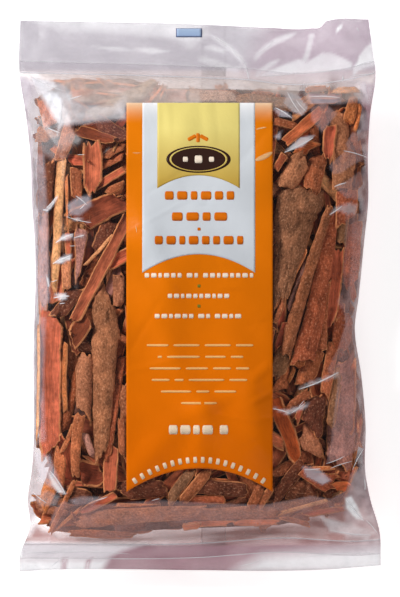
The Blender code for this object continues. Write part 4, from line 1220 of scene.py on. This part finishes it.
# The finish of the bark, in patterns that run with its grain: fine streaks, mottling and small
# specks. The outside is mottled and specked, with pale flecks; the lining is streaked and
# smoother; broken edges are pale and worn.
BARK_RIM, BARK_FLECK = linear(228, 148, 96), linear(214, 168, 132)
bark_material, bark, shader = new_material("cassia_bark")
grain = bark.add("ShaderNodeUVMap", uv_map="grain").outputs[0]
tone, rough, rim = bark.named("tone", "Color"), bark.named("rough"), bark.named("rim")
streaks = bark.noise(grain, 1100, 3.0, 0.6, stretch=(0.1, 1.0, 1.0))
mottle = bark.noise(grain, 240, 5.0, 0.7, stretch=(0.6, 1.0, 1.0))
specks = bark.noise(grain, 1000, 3.0, 0.7, stretch=(0.7, 1.0, 1.0))
patches = bark.noise(grain, 70, 2.0, 0.6)
outside = bark.math("ADD", bark.math("MULTIPLY", mottle, 0.45), bark.math("MULTIPLY", specks, 0.55))
lining = bark.math("ADD", bark.math("MULTIPLY", streaks, 0.4), bark.math("MULTIPLY", mottle, 0.6))
pattern = bark.math("ADD", bark.math("MULTIPLY", outside, rough),
                    bark.math("MULTIPLY", lining, bark.math("SUBTRACT", 1.0, rough)))
contrast = bark.span(rough, 0.0, 1.0, 3.6, 4.4)
shade = bark.math("MULTIPLY_ADD", bark.math("SUBTRACT", pattern, 0.5), contrast, 0.97)
shade = bark.math("MULTIPLY", bark.math("MAXIMUM", shade, 0.3), bark.span(patches, 0.35, 0.65, 0.78, 1.2))
shades = bark.add("ShaderNodeCombineColor", {"Red": shade, "Green": shade, "Blue": shade}).outputs[0]
body = bark.blend(1.0, tone, shades, mode="MULTIPLY")
flecks = bark.math("MULTIPLY", bark.math("MULTIPLY", bark.span(specks, 0.57, 0.66), rough), 0.4)
body = bark.blend(flecks, body, BARK_FLECK)
rim_colour = bark.blend(bark.span(streaks, 0.4, 0.6), tuple(0.5 * c for c in BARK_RIM), BARK_RIM)
worn = bark.math("ADD", bark.named("edge"), bark.span(mottle, 0.3, 0.7, -0.45, 0.45))
rim = bark.math("MAXIMUM", rim, bark.span(worn, 0.8, 1.1, 0.85, 0.0))
bark.feed(shader.inputs["Base Color"], bark.blend(rim, body, rim_colour))
shader.inputs["Roughness"].default_value = 0.8
shader.inputs["Specular IOR Level"].default_value = 0.06
relief = bark.add("ShaderNodeBump", {"Strength": 1.0, "Distance": 0.8 * MM, "Height": pattern}).outputs[0]
bark.feed(shader.inputs["Normal"], relief)

for name, heap in heaps.items():
    heap.mesh(name, bark_material)


# The bark deeper in the bag, which shows only as dark shapes in the gaps between the strips. One
# closed, lumpy body stands for it, just under the strips of the front and over those of the back.
CORE_ROWS, CORE_COLUMNS, CORE_HEAD, CORE_FOOT, CORE_SEED = 128, 90, 88, 532, 3
CORE_MARGIN, CORE_FOOT_MARGIN, FOOT_ROWS = 3.5 * MM, 9 * MM, (490, 510)
BIG_LUMPS, SMALL_LUMPS, SMALL_SHARE = (60, 40), (90, 88), 0.6
CORE_DEPTH, CORE_SINK, THINNEST_HALF = 4 * MM, 1.2, 0.3 * MM
core_rows = np.linspace(CORE_FOOT, CORE_HEAD, CORE_ROWS)
core_margin = np.interp(core_rows, FOOT_ROWS, (CORE_MARGIN, CORE_FOOT_MARGIN))
left, right = (from_photo(np.interp(-core_rows, *(np.array(side) * (-1, 1)).T), core_rows)[0]
               for side in (BARK_LEFT, BARK_RIGHT))
core_across = np.linspace(0, 1, CORE_COLUMNS)[None, :]
core_x = (left + core_margin)[:, None] * (1 - core_across) + (right - core_margin)[:, None] * core_across
core_y = np.broadcast_to(from_photo(0, core_rows)[1][:, None], core_x.shape)
core_pick = np.random.default_rng(CORE_SEED)
core_lumps = (wander(core_pick, core_x.shape, BIG_LUMPS)
              + SMALL_SHARE * wander(core_pick, core_x.shape, SMALL_LUMPS))
core_top = read_map(np.minimum(front_layer.ceiling, front_heights - CORE_DEPTH), core_x, core_y)
core_low = read_map(np.maximum(-back_layer.ceiling, back_heights + CORE_DEPTH), core_x, core_y)
core_middle = read_map((front_heights + back_heights) / 2, core_x, core_y)
core_top = np.maximum(core_top - (CORE_SINK + core_lumps) * MM, core_middle + THINNEST_HALF)
core_low = np.minimum(core_low + (CORE_SINK - core_lumps) * MM, core_middle - THINNEST_HALF)
points, quads, _ = sewn(np.stack((core_x, core_y, core_top), -1), np.stack((core_x, core_y, core_low), -1))
# Its two colours are painted shade: the dark brown of bark in shadow.
core_material, core, shader = new_material("bark_in_shade")
place = core.add("ShaderNodeTexCoord").outputs["Object"]
core.feed(shader.inputs["Base Color"], core.blend(core.span(core.noise(place, 260, 4.0), 0.35, 0.65),
                                                  linear(62, 33, 24), linear(122, 70, 50)))
shader.inputs["Roughness"].default_value = 0.85
core_piece = add_piece("bark_inside", points, quads, core_material)
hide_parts("bag")


# The floor, the lights and the camera. The camera looks straight down on the bag from 5 m, and
# its lens is the one that frames 330 mm over the long side of its picture at the seals' height.
floor_material, _, shader = new_material("floor")
shader.inputs["Base Color"].default_value = (0.95, 0.95, 0.95, 1)
shader.inputs["Emission Color"].default_value = (1, 1, 1, 1)
shader.inputs["Emission Strength"].default_value = 0.56
shader.inputs["Roughness"].default_value = 0.9
HALF_FLOOR, FLOOR_LEVEL = 3.0, -0.1 * MM
floor_mesh = bpy.data.meshes.new("floor")
floor_mesh.from_pydata([(side_x * HALF_FLOOR, side_y * HALF_FLOOR, FLOOR_LEVEL)
                        for side_x, side_y in ((-1, -1), (1, -1), (1, 1), (-1, 1))], [], [(0, 1, 2, 3)])
floor_mesh.materials.append(floor_material)
floor = bpy.data.objects.new("floor", floor_mesh)
bpy.context.scene.collection.objects.link(floor)

# Square lamps that face the bag: place, size, power, and whether the film reflects one
LIGHTS = {"key": ((-1.6, 1.0, 1.35), 0.6, 50, True), "right": ((1.6, 0.3, 1.3), 1.1, 9, False),
          "near": ((0.2, -1.7, 1.3), 1.1, 9, False)}
for name, (place, size, power, reflected) in LIGHTS.items():
    lamp = bpy.data.lights.new(name, "AREA")
    lamp.size, lamp.energy = size, power
    light = bpy.data.objects.new(name, lamp)
    light.location = place
    light.rotation_euler = (-Vector(place)).to_track_quat("-Z", "Y").to_euler()
    light.visible_glossy = reflected
    bpy.context.scene.collection.objects.link(light)
SKY_STRENGTH = 0.16
world = bpy.data.worlds.new("studio")
world.use_nodes = True
world.node_tree.nodes["Background"].inputs[0].default_value = (1, 1, 1, 1)
world.node_tree.nodes["Background"].inputs[1].default_value = SKY_STRENGTH
bpy.context.scene.world = world

CAMERA_HEIGHT, FRAMED, SENSOR, PICTURE_MIDDLE = 5.0, 330 * MM, 36, (200, 298.5)
lens = bpy.data.cameras.new("camera")
lens.sensor_width, lens.lens = SENSOR, SENSOR * CAMERA_HEIGHT / FRAMED
camera = bpy.data.objects.new("camera", lens)
camera.location = (0, from_photo(*PICTURE_MIDDLE)[1], SEAL_HEIGHT + CAMERA_HEIGHT)
bpy.context.scene.collection.objects.link(camera)
bpy.context.scene.camera = camera
bpy.context.scene.view_settings.view_transform = "Standard"
